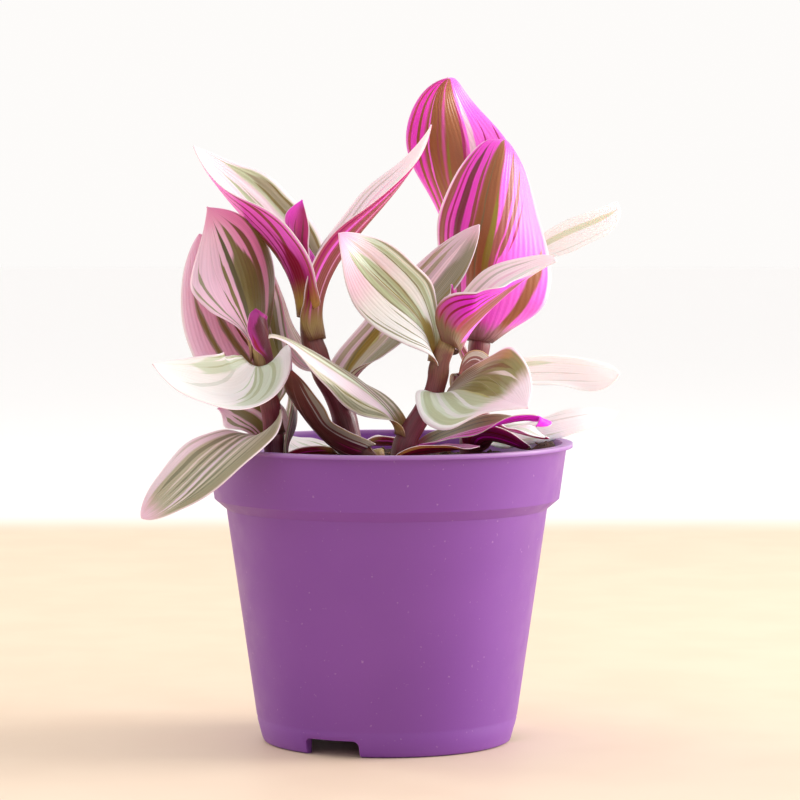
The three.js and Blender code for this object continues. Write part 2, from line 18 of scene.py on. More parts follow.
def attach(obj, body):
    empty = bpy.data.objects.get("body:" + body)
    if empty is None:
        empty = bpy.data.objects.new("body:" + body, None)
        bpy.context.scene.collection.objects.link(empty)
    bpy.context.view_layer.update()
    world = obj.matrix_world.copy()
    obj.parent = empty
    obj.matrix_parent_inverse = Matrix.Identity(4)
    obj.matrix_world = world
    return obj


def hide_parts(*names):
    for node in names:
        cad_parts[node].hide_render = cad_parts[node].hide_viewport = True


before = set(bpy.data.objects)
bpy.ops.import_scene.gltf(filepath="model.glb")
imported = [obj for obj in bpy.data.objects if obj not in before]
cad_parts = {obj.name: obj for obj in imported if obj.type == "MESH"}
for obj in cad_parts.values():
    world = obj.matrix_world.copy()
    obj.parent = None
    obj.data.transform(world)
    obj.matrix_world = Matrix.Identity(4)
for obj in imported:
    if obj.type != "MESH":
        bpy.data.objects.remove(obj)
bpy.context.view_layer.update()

LOG = logging.getLogger("tradescantia")
MM = 0.001

Triple = tuple[float, float, float]
Colour = tuple[float, float, float, float]


# Colours


class Tone(Enum):
    """Colours of the plant, as eight-bit sRGB."""

    WHITE = (252, 248, 249)
    CHALK = (218, 206, 200)
    CREAM = (243, 238, 222)
    MIST = (224, 226, 222)
    BLUSH = (245, 222, 232)
    LILAC = (226, 206, 218)
    PALE_PINK = (240, 200, 220)
    PINK = (238, 166, 204)
    ORCHID = (255, 112, 230)
    MAGENTA = (255, 44, 250)
    RASPBERRY = (200, 66, 128)
    CLARET = (168, 26, 104)
    MAROON = (124, 44, 66)
    COCOA = (112, 54, 52)
    UMBER = (70, 34, 34)
    DUSK = (176, 134, 138)
    BRICK = (182, 74, 92)
    RUST = (156, 82, 76)
    BROWN = (156, 96, 56)
    RUSSET = (128, 104, 66)
    BRONZE = (170, 146, 92)
    UMBER_OLIVE = (142, 138, 86)
    MOSS = (144, 126, 38)
    OLIVE = (126, 118, 66)
    DARK_OLIVE = (90, 86, 46)
    GREY_OLIVE = (152, 150, 122)
    MEADOW = (176, 178, 112)
    SAGE = (184, 195, 162)
    PALE_SAGE = (210, 222, 202)
    GREY = (196, 186, 184)
    ASH = (168, 160, 144)
    STEM = (118, 70, 62)
    EMBER = (232, 172, 96)
    KHAKI = (156, 138, 74)
    HONEY = (200, 166, 84)
    FUCHSIA = (248, 70, 214)
    GARNET = (150, 12, 58)
    PORT = (92, 14, 42)
    PLUM = (168, 34, 136)
    ROSE = (255, 206, 234)
    STONE = (178, 174, 150)
    FROST = (255, 255, 255)
    SLATE = (134, 134, 108)

    @property
    def linear(self) -> Colour:
        """The colour in linear light with full alpha."""
        return srgb(*self.value)


def srgb_to_linear(value: float) -> float:
    """Turn one sRGB channel into linear light.

    Args:
        value: The channel, from 0 to 1.

    Returns:
        The same channel in linear light.
    """
    return value / 12.92 if value <= 0.04045 else ((value + 0.055) / 1.055) ** 2.4


def srgb(red: int, green: int, blue: int) -> Colour:
    """Turn an eight-bit sRGB colour into linear light.

    Args:
        red: The red channel.
        green: The green channel.
        blue: The blue channel.

    Returns:
        The colour in linear light with full alpha.
    """
    return (*(srgb_to_linear(value / 255) for value in (red, green, blue)), 1.0)


# Measures


def smooth_step(x: float, low: float, high: float) -> float:
    """Rise smoothly from 0 at low to 1 at high.

    Args:
        x: The place to read.
        low: Where the rise begins.
        high: Where the rise ends.

    Returns:
        A share from 0 to 1.
    """
    t = min(max((x - low) / (high - low), 0.0), 1.0)
    return t * t * (3 - 2 * t)


def locate(lengths: list[float], reach: float) -> tuple[int, float]:
    """Find a place on a line of points.

    Args:
        lengths: The length of the line from its start to each point.
        reach: The length from the start to the place.

    Returns:
        The number of the point before the place, and the share of the step after it.
    """
    step = 0
    while step < len(lengths) - 2 and lengths[step + 1] < reach:
        step += 1
    return step, (reach - lengths[step]) / (lengths[step + 1] - lengths[step])


# Node helpers


class NodeBench:
    """Adds nodes to one node tree and links them."""

    def __init__(self, tree: bpy.types.NodeTree) -> None:
        """Keep the tree.

        Args:
            tree: The node tree that gets the nodes.
        """
        self.tree = tree

    def add(self, kind: str, inputs: dict | None = None, **settings: object) -> bpy.types.Node:
        """Add one node.

        Args:
            kind: The node's type name.
            inputs: Values or sockets for its inputs, by name or number.
            settings: Properties to set on the node.

        Returns:
            The new node.
        """
        node = self.tree.nodes.new(kind)
        for name, value in settings.items():
            setattr(node, name, value)
        for key, value in (inputs or {}).items():
            self.feed(node.inputs[key], value)
        return node

    def feed(self, socket: bpy.types.NodeSocket, value: object) -> None:
        """Link a socket to an input, or set the input's own value.

        Args:
            socket: The input to feed.
            value: A socket to link, or a plain value.
        """
        if isinstance(value, bpy.types.NodeSocket):
            self.tree.links.new(value, socket)
        else:
            socket.default_value = value

    def maths(self, operation: str, first: object, second: object = 0.0) -> bpy.types.NodeSocket:
        """Add one Math node.

        Args:
            operation: The node's operation.
            first: Its first input.
            second: Its second input.

        Returns:
            The node's result.
        """
        return self.add("ShaderNodeMath", {0: first, 1: second}, operation=operation).outputs[0]

    def shifted(self, value: object, cause: object, amount: float) -> bpy.types.NodeSocket:
        """Shift a number by a share of another.

        Args:
            value: The number to shift.
            cause: The number that shifts it.
            amount: How much of the cause is added.

        Returns:
            The shifted number.
        """
        return self.maths("ADD", value, self.maths("MULTIPLY", cause, amount))

    def spread(
        self, value: object, low: object, high: object, to_low: float = 0.0, to_high: float = 1.0
    ) -> bpy.types.NodeSocket:
        """Map a range smoothly onto another and hold it there.

        Args:
            value: The number to map.
            low: The start of its range.
            high: The end of its range.
            to_low: What the start becomes.
            to_high: What the end becomes.

        Returns:
            The mapped number.
        """
        node = self.add(
            "ShaderNodeMapRange", {0: value, 1: low, 2: high, 3: to_low, 4: to_high},
            interpolation_type="SMOOTHSTEP",
        )
        return node.outputs[0]

    def mix(
        self, share: object, first: object, second: object, blend: str = "MIX"
    ) -> bpy.types.NodeSocket:
        """Mix two colours.

        Args:
            share: How much of the second there is.
            first: The first colour.
            second: The second colour.
            blend: How the second is laid on the first.

        Returns:
            The mixed colour.
        """
        node = self.add("ShaderNodeMix", data_type="RGBA", blend_type=blend)
        self.feed(node.inputs[0], share)
        self.feed(node.inputs[6], first)
        self.feed(node.inputs[7], second)
        return node.outputs[2]

    def grain(self, vector: object, scale: float, detail: float = 3.0) -> bpy.types.NodeSocket:
        """Add a noise pattern.

        Args:
            vector: Where the pattern is read.
            scale: Its scale.
            detail: Its finer layers.

        Returns:
            A number around one half.
        """
        node = self.add("ShaderNodeTexNoise", {"Vector": vector, "Scale": scale, "Detail": detail})
        return node.outputs[0]

    def long_grain(self, vector: object, scale: Triple, detail: float) -> bpy.types.NodeSocket:
        """Add a noise pattern with a scale of its own along each axis.

        Args:
            vector: Where the pattern is read.
            scale: Its scale along each axis.
            detail: Its finer layers.

        Returns:
            A number around one half.
        """
        stretched = self.add("ShaderNodeMapping", {"Vector": vector, "Scale": scale})
        return self.grain(stretched.outputs[0], 1.0, detail)

    def part(self, vector: object, axis: int) -> bpy.types.NodeSocket:
        """Take one coordinate out of a vector.

        Args:
            vector: The vector.
            axis: 0, 1 or 2 for x, y or z.

        Returns:
            The coordinate.
        """
        return self.add("ShaderNodeSeparateXYZ", {0: vector}).outputs[axis]


class SkinBench(NodeBench):
    """A bench on a new material with one Principled shader."""

    def __init__(self, name: str) -> None:
        """Start the material.

        Args:
            name: The material's name.
        """
        self.material = bpy.data.materials.new(name)
        self.material.use_nodes = True
        super().__init__(self.material.node_tree)
        self.inputs = self.tree.nodes["Principled BSDF"].inputs
        self.place = self.add("ShaderNodeTexCoord").outputs["Object"]

    def dress(self, colour: object, rough: object, specular: float = 0.5) -> None:
        """Give the shader its colour and its shine.

        Args:
            colour: The base colour.
            rough: The roughness.
            specular: The strength of the reflection.
        """
        self.feed(self.inputs["Base Color"], colour)
        self.feed(self.inputs["Roughness"], rough)
        self.inputs["Specular IOR Level"].default_value = specular

    def emboss(self, height: object, strength: float, distance: float) -> None:
        """Give the surface a fine relief.

        Args:
            height: The pattern of the relief.
            strength: How strong it shows.
            distance: Its depth in metres.
        """
        bump = self.add("ShaderNodeBump", {"Height": height, "Strength": strength, "Distance": distance})
        self.feed(self.inputs["Normal"], bump.outputs[0])

    def let_light_in(self, weight: float, radius: Triple, scale: float) -> None:
        """Let light spread under the surface.

        Args:
            weight: How much of the colour comes from below.
            radius: How far red, green and blue spread, as shares of the scale.
            scale: How far light spreads in metres.
        """
        self.inputs["Subsurface Weight"].default_value = weight
        self.inputs["Subsurface Radius"].default_value = radius
        self.inputs["Subsurface Scale"].default_value = scale


# Mesh helpers


def dress_piece(piece: bpy.types.Object, *materials: bpy.types.Material) -> None:
    """Put materials on a piece in order.

    Args:
        piece: The piece to dress.
        materials: Its materials.
    """
    for material in materials:
        piece.data.materials.append(material)


def finish_piece(tool: bmesh.types.BMesh, name: str, sharp_degrees: float = 180) -> bpy.types.Object:
    """Turn a bmesh into a smooth-shaded object at the origin.

    Args:
        tool: The finished bmesh, freed here.
        name: The piece's name.
        sharp_degrees: Edges that turn more than this stay sharp.

    Returns:
        The new object, linked to the scene.
    """
    mesh = bpy.data.meshes.new(name)
    for face in tool.faces:
        face.smooth = True
    tool.to_mesh(mesh)
    tool.free()
    if sharp_degrees < 180:
        mesh.set_sharp_from_angle(angle=math.radians(sharp_degrees))
    piece = bpy.data.objects.new(name, mesh)
    bpy.context.scene.collection.objects.link(piece)
    return piece


def bake_modifiers(piece: bpy.types.Object) -> None:
    """Make a piece's modifiers part of its mesh.

    Args:
        piece: The piece to bake.
    """
    graph = bpy.context.evaluated_depsgraph_get()
    graph.update()
    mesh = bpy.data.meshes.new_from_object(piece.evaluated_get(graph))
    old = piece.data
    piece.modifiers.clear()
    piece.data = mesh
    bpy.data.meshes.remove(old)


def grow_ring(tool: bmesh.types.BMesh, ring: list[bmesh.types.BMVert]) -> list[bmesh.types.BMVert]:
    """Extrude the edges of a ring.

    Args:
        tool: The bmesh that holds the ring.
        ring: The ring's vertices in order.

    Returns:
        The new ring, in the order of the old one.
    """
    edges = [tool.edges.get((vert, ring[number - 1])) for number, vert in enumerate(ring)]
    grown = set(bmesh.ops.extrude_edge_only(tool, edges=edges)["geom"])
    return [
        next(edge.other_vert(vert) for edge in vert.link_edges if edge.other_vert(vert) in grown)
        for vert in ring
    ]


# Leaf finishes


@dataclass(frozen=True)
class Stripe:
    """One stripe along a leaf.

    Across runs from -1 to 1 and along from 0 at the base to 1 at the tip. The centre is where the
    stripe lies at half the leaf's length, and the lean is how far it moves across from base to tip.
    """

    centre: float
    half: float
    end: float
    tone: Tone
    lean: float = 0.0
    start: float = -0.5

    GROUP = "leaf_stripe"
    TAPER = 0.18
    ONSET = 0.15
    SOFT_EDGE = (1.25, 0.75)

    @classmethod
    def group(cls) -> bpy.types.NodeTree:
        """Build the node group that lays one stripe over a colour.

        Returns:
            The group, which every stripe of every leaf shares.
        """
        if cls.GROUP in bpy.data.node_groups:
            return bpy.data.node_groups[cls.GROUP]
        tree = bpy.data.node_groups.new(cls.GROUP, "ShaderNodeTree")
        for label in ("Colour", "Tone"):
            tree.interface.new_socket(label, in_out="INPUT", socket_type="NodeSocketColor")
        for label in ("Across", "Along", "Reach", "Centre", "Half", "Start", "End", "Lean"):
            tree.interface.new_socket(label, in_out="INPUT", socket_type="NodeSocketFloat")
        tree.interface.new_socket("Colour", in_out="OUTPUT", socket_type="NodeSocketColor")
        bench = NodeBench(tree)
        given = bench.add("NodeGroupInput").outputs
        middle = bench.maths("SUBTRACT", given["Along"], 0.5)
        centre = bench.shifted(given["Centre"], middle, given["Lean"])
        gap = bench.maths("ABSOLUTE", bench.maths("SUBTRACT", given["Across"], centre))
        gap = bench.maths("DIVIDE", gap, given["Half"])
        narrowing = bench.maths("SUBTRACT", given["End"], cls.TAPER)
        widening = bench.maths("ADD", given["Start"], cls.ONSET)
        taper = bench.spread(given["Reach"], narrowing, given["End"])
        onset = bench.spread(given["Reach"], widening, given["Start"])
        mask = bench.spread(bench.maths("ADD", gap, bench.maths("ADD", taper, onset)), *cls.SOFT_EDGE)
        bench.add("NodeGroupOutput", {0: bench.mix(mask, given["Colour"], given["Tone"])})
        return tree

    def lay(self, bench: NodeBench, colour: object, place: tuple) -> bpy.types.NodeSocket:
        """Lay the stripe over a colour. It narrows to a point at its end.

        Args:
            bench: The bench of the material's tree.
            colour: The colour so far.
            place: The place across, along, and along with ragged ends.

        Returns:
            The colour with the stripe on it.
        """
        across, along, reach = place
        values = {
            "Colour": colour, "Across": across, "Along": along, "Reach": reach,
            "Centre": self.centre, "Half": self.half, "End": self.end,
            "Tone": self.tone.linear, "Lean": self.lean, "Start": self.start,
        }
        return bench.add("ShaderNodeGroup", values, node_tree=self.group()).outputs[0]


@dataclass(frozen=True)
class LeafFace:
    """The look of one face of a leaf: a ground, a tip, a sheath, an edge line and stripes.

    The ground runs from the left tone to the right one. Lengths are shares of the leaf's length
    from its base, and widths are shares of its half width from the midrib.
    """

    name: str
    left: Tone
    right: Tone
    tip: Tone
    edge: Tone
    sheath: Tone
    tip_from: float = 0.88
    sheath_to: float = 0.14
    low: Tone | None = None
    low_to: float = 0.4
    stripes: tuple[Stripe, ...] = ()
    roughness: float = 0.36
    glow: float = 0.35
    streaks: float = 0.55

    DRIFT_SCALE = (45, 45, 45)
    DRIFT = 0.13
    RAGGED_SCALE = (22, 7, 1)
    RAGGED = 0.045
    RAGGED_ENDS = 0.09
    GROUND_BLEND = 0.7
    LOW_BLEND = (0.12, -0.14)
    TIP_BLEND = (-0.06, 0.08)
    SHEATH_BLEND = 0.3
    EDGE_WIDTH = (0.93, 0.985)
    EDGE_ONSET = (0.06, 0.26)
    ROOT_END = 0.06
    ROOT_SHARE = 0.75
    STREAK_SCALE = (70, 2.2, 1)
    STREAK_RANGE = (0.3, 0.7)
    STREAK_DARK = (0.72, 0.72, 0.72, 1)
    STREAK_LIGHT = (1, 1, 1, 1)
    VEIN_WAVES = 70.0
    VEIN_RELIEF = 0.5
    SKIN_SCALE = 1500.0
    SKIN_RELIEF = 0.8
    RELIEF = (0.3, 0.00018)
    ROUGH_RANGE = (0.2, 0.8)
    ROUGH_VARIATION = (-0.06, 0.12)
    SPECULAR = 0.45
    LIGHT_RADIUS = (1.0, 0.7, 0.7)
    LIGHT_SCALE = 0.0016

    def material(self) -> bpy.types.Material:
        """Build the procedural material of this face.

        Returns:
            The material, which leaves with the same face share.
        """
        if self.name in bpy.data.materials:
            return bpy.data.materials[self.name]
        bench = SkinBench(self.name)
        layout = bench.add("ShaderNodeUVMap", uv_map=LeafBlade.MAP).outputs[0]
        along = bench.part(layout, 1)
        across = bench.maths("SUBTRACT", bench.maths("MULTIPLY", bench.part(layout, 0), 2.0), 1.0)
        drift = bench.maths("SUBTRACT", bench.long_grain(bench.place, self.DRIFT_SCALE, 1), 0.5)
        ragged = bench.maths("SUBTRACT", bench.long_grain(layout, self.RAGGED_SCALE, 2), 0.5)
        bent = bench.shifted(bench.shifted(across, drift, self.DRIFT), ragged, self.RAGGED)
        reach = bench.shifted(along, ragged, self.RAGGED_ENDS)
        streaks = bench.long_grain(layout, self.STREAK_SCALE, 3)

        shade = bench.mix(
            bench.spread(streaks, *self.STREAK_RANGE), self.STREAK_DARK, self.STREAK_LIGHT)
        colour = bench.mix(
            self.streaks, self.colour(bench, (bent, along, reach), across), shade, "MULTIPLY")
        rough = [self.roughness + change for change in self.ROUGH_VARIATION]
        bench.dress(colour, bench.spread(streaks, *self.ROUGH_RANGE, *rough), self.SPECULAR)

        veins = bench.maths("SINE", bench.maths("MULTIPLY", bent, self.VEIN_WAVES))
        skin = bench.grain(bench.place, self.SKIN_SCALE, 2)
        relief = bench.shifted(bench.maths("MULTIPLY", skin, self.SKIN_RELIEF), veins, self.VEIN_RELIEF)
        bench.emboss(relief, *self.RELIEF)
        bench.let_light_in(self.glow, self.LIGHT_RADIUS, self.LIGHT_SCALE)
        return bench.material

    def colour(self, bench: SkinBench, place: tuple, across: object) -> bpy.types.NodeSocket:
        """Lay the ground, the stripes, the tip, the edge line and the sheath.

        Args:
            bench: The bench of the material.
            place: The bent place across, the place along, and along with ragged ends.
            across: The straight place across.

        Returns:
            The colour of the face.
        """
        bent, along, reach = place
        ground = bench.spread(bent, -self.GROUND_BLEND, self.GROUND_BLEND)
        colour = bench.mix(ground, self.left.linear, self.right.linear)
        if self.low is not None:
            low = bench.spread(reach, *(self.low_to + change for change in self.LOW_BLEND))
            colour = bench.mix(low, colour, self.low.linear)
        for stripe in self.stripes:
            colour = stripe.lay(bench, colour, place)
        tip = bench.spread(reach, *(self.tip_from + change for change in self.TIP_BLEND))
        colour = bench.mix(tip, colour, self.tip.linear)
        line = bench.spread(bench.maths("ABSOLUTE", across), *self.EDGE_WIDTH)
        line = bench.maths("MULTIPLY", line, bench.spread(along, *self.EDGE_ONSET))
        colour = bench.mix(line, colour, self.edge.linear)
        sheath = bench.spread(reach, self.sheath_to, self.sheath_to * self.SHEATH_BLEND)
        colour = bench.mix(sheath, colour, self.sheath.linear)
        root = bench.maths("MULTIPLY", bench.spread(reach, self.ROOT_END, 0.0), self.ROOT_SHARE)
        return bench.mix(root, colour, Tone.STEM.linear)


def stripes(*rows: tuple) -> tuple[Stripe, ...]:
    """Make stripes from plain rows.

    Args:
        rows: Centre, half width, end and tone of each stripe, and its lean and start if it has them.

    Returns:
        The stripes in the same order.
    """
    return tuple(Stripe(*row) for row in rows)


class Uppers:
    """Upper faces. Across runs from the leaf's left margin at -1 to its right margin at 1."""

    TALL = LeafFace(
        "leaf_tall_upper", Tone.PALE_PINK, Tone.PINK, Tone.PINK, Tone.PALE_PINK, Tone.BRICK, 0.88, 0.08,
        stripes=stripes(
            (0.13, 0.27, 0.76, Tone.OLIVE, -0.3), (0.0, 0.07, 0.94, Tone.OLIVE, 0.1),
            (-0.14, 0.05, 0.95, Tone.DARK_OLIVE, -0.27), (0.44, 0.075, 0.91, Tone.RUSSET, -0.17),
            (0.83, 0.15, 0.9, Tone.OLIVE, 0.3), (-0.31, 0.035, 0.74, Tone.OLIVE, -0.27),
            (-0.47, 0.022, 0.49, Tone.OLIVE, -0.45), (-0.78, 0.03, 0.72, Tone.GREY_OLIVE, -0.45),
            (-0.95, 0.025, 0.58, Tone.GREY_OLIVE, -0.35),
        ),
    )
    OUTER = LeafFace(
        "leaf_outer_upper", Tone.ROSE, Tone.ROSE, Tone.ROSE, Tone.BLUSH, Tone.BRICK, 0.9, 0.1,
        stripes=stripes(
            (-0.5, 0.08, 0.74, Tone.ASH, -0.7), (-0.1, 0.09, 0.66, Tone.ASH, -0.9),
            (-0.5, 0.04, 0.7, Tone.UMBER_OLIVE, -0.7), (-0.1, 0.05, 0.62, Tone.UMBER_OLIVE, -0.9),
            (0.14, 0.03, 0.6, Tone.RUSSET, -1.0), (0.36, 0.04, 0.8, Tone.RUSSET),
            (0.76, 0.17, 0.88, Tone.UMBER_OLIVE),
        ),
        streaks=0.3,
    )
    WHITE = LeafFace(
        "leaf_white_upper", Tone.WHITE, Tone.WHITE, Tone.WHITE, Tone.BLUSH, Tone.PALE_SAGE, 0.9, 0.06,
        stripes=stripes(
            (-0.7, 0.34, 0.48, Tone.PALE_SAGE, -0.8), (-0.46, 0.04, 0.44, Tone.SAGE, -1.1),
            (-0.62, 0.05, 0.44, Tone.SAGE, -1.1), (-0.84, 0.05, 0.4, Tone.SAGE, -0.8),
            (-0.1, 0.02, 0.4, Tone.PALE_SAGE, -0.4), (0.24, 0.05, 0.8, Tone.MIST, -1.1),
            (0.72, 0.24, 0.78, Tone.PALE_SAGE, -0.12), (0.52, 0.03, 0.7, Tone.PALE_SAGE, -0.5),
            (0.66, 0.02, 0.7, Tone.SAGE, -0.2), (0.82, 0.03, 0.62, Tone.WHITE, -0.1),
            (0.92, 0.04, 0.64, Tone.SAGE),
        ),
        streaks=0.2,
    )
    DROOPING = LeafFace(
        "leaf_drooping_upper", Tone.STONE, Tone.STONE, Tone.PALE_PINK, Tone.BLUSH, Tone.MAROON,
        0.91, 0.1,
        stripes=stripes(
            (-0.8, 0.14, 0.9, Tone.GREY_OLIVE, -0.1), (-0.64, 0.025, 0.88, Tone.SLATE, -0.3),
            (-0.48, 0.035, 0.9, Tone.SLATE, -0.6), (-0.35, 0.035, 0.95, Tone.CHALK, -0.9),
            (-0.22, 0.035, 0.9, Tone.SLATE, -1.1), (-0.08, 0.05, 0.98, Tone.LILAC, -1.3),
            (0.06, 0.045, 0.9, Tone.SLATE, -1.2), (0.18, 0.03, 0.92, Tone.CHALK, -1.1),
            (0.3, 0.035, 0.88, Tone.SLATE, -0.9), (0.42, 0.03, 0.9, Tone.CHALK, -0.7),
            (0.57, 0.06, 0.9, Tone.SLATE, -0.3), (0.87, 0.16, 1.1, Tone.LILAC, -0.1),
            (0.9, 0.03, 0.72, Tone.GREY),
        ),
        streaks=0.35,
    )
    LEFT_WING = LeafFace(
        "leaf_left_wing_upper", Tone.PALE_PINK, Tone.BLUSH, Tone.PINK, Tone.BLUSH, Tone.HONEY, 0.9, 0.14,
        Tone.WHITE, 0.6,
        stripes(
            (0.04, 0.25, 0.9, Tone.PALE_SAGE, -0.3), (-0.13, 0.09, 0.95, Tone.SAGE, -0.4),
            (0.14, 0.1, 0.84, Tone.SAGE, -0.1), (-0.04, 0.03, 0.92, Tone.STONE, -0.4),
            (-0.22, 0.02, 0.93, Tone.GREY_OLIVE, -0.35), (0.1, 0.018, 0.8, Tone.GREY_OLIVE, -0.1),
            (0.25, 0.02, 0.76, Tone.GREY_OLIVE), (0.02, 0.014, 0.8, Tone.KHAKI, -0.3),
            (0.8, 0.22, 0.9, Tone.PALE_SAGE, 0.1), (0.7, 0.05, 0.88, Tone.SAGE, 0.05),
            (0.93, 0.07, 0.86, Tone.GREY_OLIVE), (0.61, 0.02, 0.82, Tone.GREY_OLIVE, 0.1),
            (0.82, 0.014, 0.8, Tone.CREAM), (-0.9, 0.02, 0.62, Tone.GREY_OLIVE, -0.3),
            (-0.8, 0.014, 0.5, Tone.GREY_OLIVE, -0.2), (-0.56, 0.02, 0.46, Tone.GREY_OLIVE, -0.1),
            (-0.32, 0.016, 0.48, Tone.GREY_OLIVE, -0.1), (0.25, 0.4, 0.3, Tone.KHAKI, 0.2),
        ),
        streaks=0.3,
    )
    HEART = LeafFace(
        "leaf_heart_upper", Tone.UMBER_OLIVE, Tone.PALE_SAGE, Tone.BLUSH, Tone.BLUSH, Tone.BRONZE, 0.68,
        0.05,
        stripes=stripes(
            (-0.86, 0.13, 0.56, Tone.BRONZE, -0.1), (-0.64, 0.04, 0.64, Tone.RUSSET, -0.5),
            (-0.5, 0.04, 0.72, Tone.CHALK, -0.7), (-0.16, 0.27, 0.68, Tone.UMBER_OLIVE, 0.1),
            (-0.1, 0.1, 0.54, Tone.OLIVE, 0.1), (-0.3, 0.02, 0.64, Tone.OLIVE),
            (0.04, 0.04, 0.66, Tone.MEADOW, 0.1), (0.19, 0.14, 0.7, Tone.SAGE, 0.2),
            (0.36, 0.035, 0.84, Tone.MIST, 0.7), (0.5, 0.07, 0.76, Tone.SAGE, 0.6),
            (0.66, 0.04, 0.88, Tone.MIST, 0.5), (0.82, 0.08, 0.78, Tone.SAGE, 0.2),
            (0.95, 0.05, 1.1, Tone.WHITE), (-0.4, 0.5, 0.28, Tone.RUSSET, 0.2),
            (-0.32, 0.025, 0.84, Tone.GREY, 0.4, 0.66), (-0.16, 0.02, 0.8, Tone.GREY, 0.6, 0.66),
        ),
        streaks=0.35,
    )
    LONG = LeafFace(
        "leaf_long_upper", Tone.STONE, Tone.STONE, Tone.CHALK, Tone.BLUSH, Tone.BRONZE, 0.94, 0.1,
        stripes=stripes(
            (-0.9, 0.1, 0.66, Tone.SLATE, -0.6), (-0.74, 0.03, 0.6, Tone.OLIVE, -0.8),
            (-0.48, 0.19, 1.1, Tone.LILAC, -0.95), (-0.16, 0.05, 0.92, Tone.PALE_SAGE, -0.8),
            (-0.02, 0.05, 0.88, Tone.SLATE, -0.6), (0.14, 0.03, 0.88, Tone.CHALK, -0.5),
            (0.3, 0.07, 0.86, Tone.SLATE, -0.3), (0.46, 0.03, 0.9, Tone.LILAC),
            (0.62, 0.06, 0.86, Tone.SLATE), (0.78, 0.04, 0.9, Tone.CHALK),
            (0.92, 0.05, 0.8, Tone.SLATE),
        ),
        streaks=0.4,
    )
    GREY = LeafFace(
        "leaf_grey_upper", Tone.LILAC, Tone.SLATE, Tone.PALE_PINK, Tone.LILAC, Tone.BRONZE, 0.94, 0.1,
        stripes=stripes(
            (0.5, 0.54, 0.92, Tone.SLATE), (-0.8, 0.07, 0.93, Tone.STONE),
            (-0.52, 0.08, 0.92, Tone.STONE), (-0.2, 0.09, 0.97, Tone.BLUSH),
            (0.16, 0.02, 0.86, Tone.GREY_OLIVE), (0.46, 0.02, 0.86, Tone.GREY_OLIVE),
            (0.66, 0.02, 0.84, Tone.OLIVE), (0.3, 0.02, 0.8, Tone.OLIVE), (0.86, 0.06, 0.9, Tone.OLIVE),
            (-0.62, 0.2, 0.46, Tone.MOSS, -0.9), (-0.5, 0.04, 0.44, Tone.MEADOW, -0.9),
            (-0.76, 0.03, 0.44, Tone.OLIVE, -0.9), (-0.2, 0.12, 0.46, Tone.STONE),
        ),
        streaks=0.35,
    )
    VEILED = LeafFace(
        "leaf_veiled_upper", Tone.BLUSH, Tone.BLUSH, Tone.BLUSH, Tone.BLUSH, Tone.BRONZE, 0.93, 0.1,
        stripes=stripes(
            (-0.6, 0.06, 0.84, Tone.SAGE), (-0.3, 0.04, 0.8, Tone.SAGE),
            (0.1, 0.03, 0.84, Tone.PALE_SAGE), (0.43, 0.04, 0.82, Tone.SAGE),
            (0.5, 0.018, 0.74, Tone.STONE), (0.8, 0.15, 0.88, Tone.SAGE),
            (0.81, 0.1, 0.76, Tone.GREY_OLIVE), (0.74, 0.025, 0.7, Tone.OLIVE),
            (0.9, 0.02, 0.66, Tone.OLIVE),
        ),
        streaks=0.35,
    )
    PALE = LeafFace(
        "leaf_pale_upper", Tone.BLUSH, Tone.WHITE, Tone.WHITE, Tone.BLUSH, Tone.BRONZE, 0.93, 0.08,
        stripes=stripes(
            (-0.88, 0.025, 0.8, Tone.CHALK), (-0.74, 0.03, 0.84, Tone.GREY),
            (-0.56, 0.03, 0.8, Tone.PALE_PINK), (-0.36, 0.06, 0.88, Tone.MIST),
            (-0.1, 0.1, 0.9, Tone.MIST), (0.08, 0.025, 0.9, Tone.PALE_SAGE),
            (0.4, 0.05, 0.86, Tone.PALE_SAGE), (0.72, 0.04, 0.76, Tone.SAGE),
        ),
        streaks=0.3,
    )
    PINK = LeafFace(
        "leaf_pink_upper", Tone.PALE_PINK, Tone.PALE_PINK, Tone.PINK, Tone.BLUSH, Tone.BRICK, 0.92, 0.12,
        stripes=stripes(
            (-0.66, 0.09, 0.82, Tone.OLIVE), (-0.36, 0.04, 0.75, Tone.OLIVE),
            (0.0, 0.2, 0.9, Tone.OLIVE), (0.3, 0.03, 0.86, Tone.BLUSH),
            (0.48, 0.1, 0.84, Tone.OLIVE), (0.78, 0.05, 0.7, Tone.OLIVE),
        ),
    )
    GREEN = LeafFace(
        "leaf_green_upper", Tone.OLIVE, Tone.GREY_OLIVE, Tone.PINK, Tone.PINK, Tone.BRONZE, 0.92, 0.12,
        stripes=stripes(
            (-0.85, 0.06, 0.9, Tone.BLUSH), (-0.5, 0.04, 0.9, Tone.CREAM),
            (-0.12, 0.05, 0.94, Tone.SAGE), (0.2, 0.06, 0.9, Tone.CREAM),
            (0.5, 0.08, 0.9, Tone.OLIVE), (0.8, 0.07, 0.95, Tone.BLUSH),
        ),
    )
    HAZY = LeafFace(
        "leaf_hazy_upper", Tone.FROST, Tone.FROST, Tone.FROST, Tone.FROST, Tone.WHITE, 0.92, 0.08,
        stripes=stripes(
            (-0.7, 0.1, 0.5, Tone.PALE_SAGE), (0.5, 0.2, 0.8, Tone.WHITE), (0.1, 0.05, 0.8, Tone.MIST),
            (-0.3, 0.03, 0.7, Tone.MIST), (0.8, 0.05, 0.6, Tone.PALE_SAGE),
        ),
        roughness=0.8, glow=0.9, streaks=0.0,
    )
    MISTY = LeafFace(
        "leaf_misty_upper", Tone.FROST, Tone.FROST, Tone.FROST, Tone.FROST, Tone.PALE_SAGE, 0.96, 0.08,
        stripes=stripes(
            (-0.45, 0.14, 0.92, Tone.PALE_SAGE), (0.5, 0.06, 0.9, Tone.MIST),
        ),
        roughness=0.8, glow=0.9, streaks=0.0,
    )
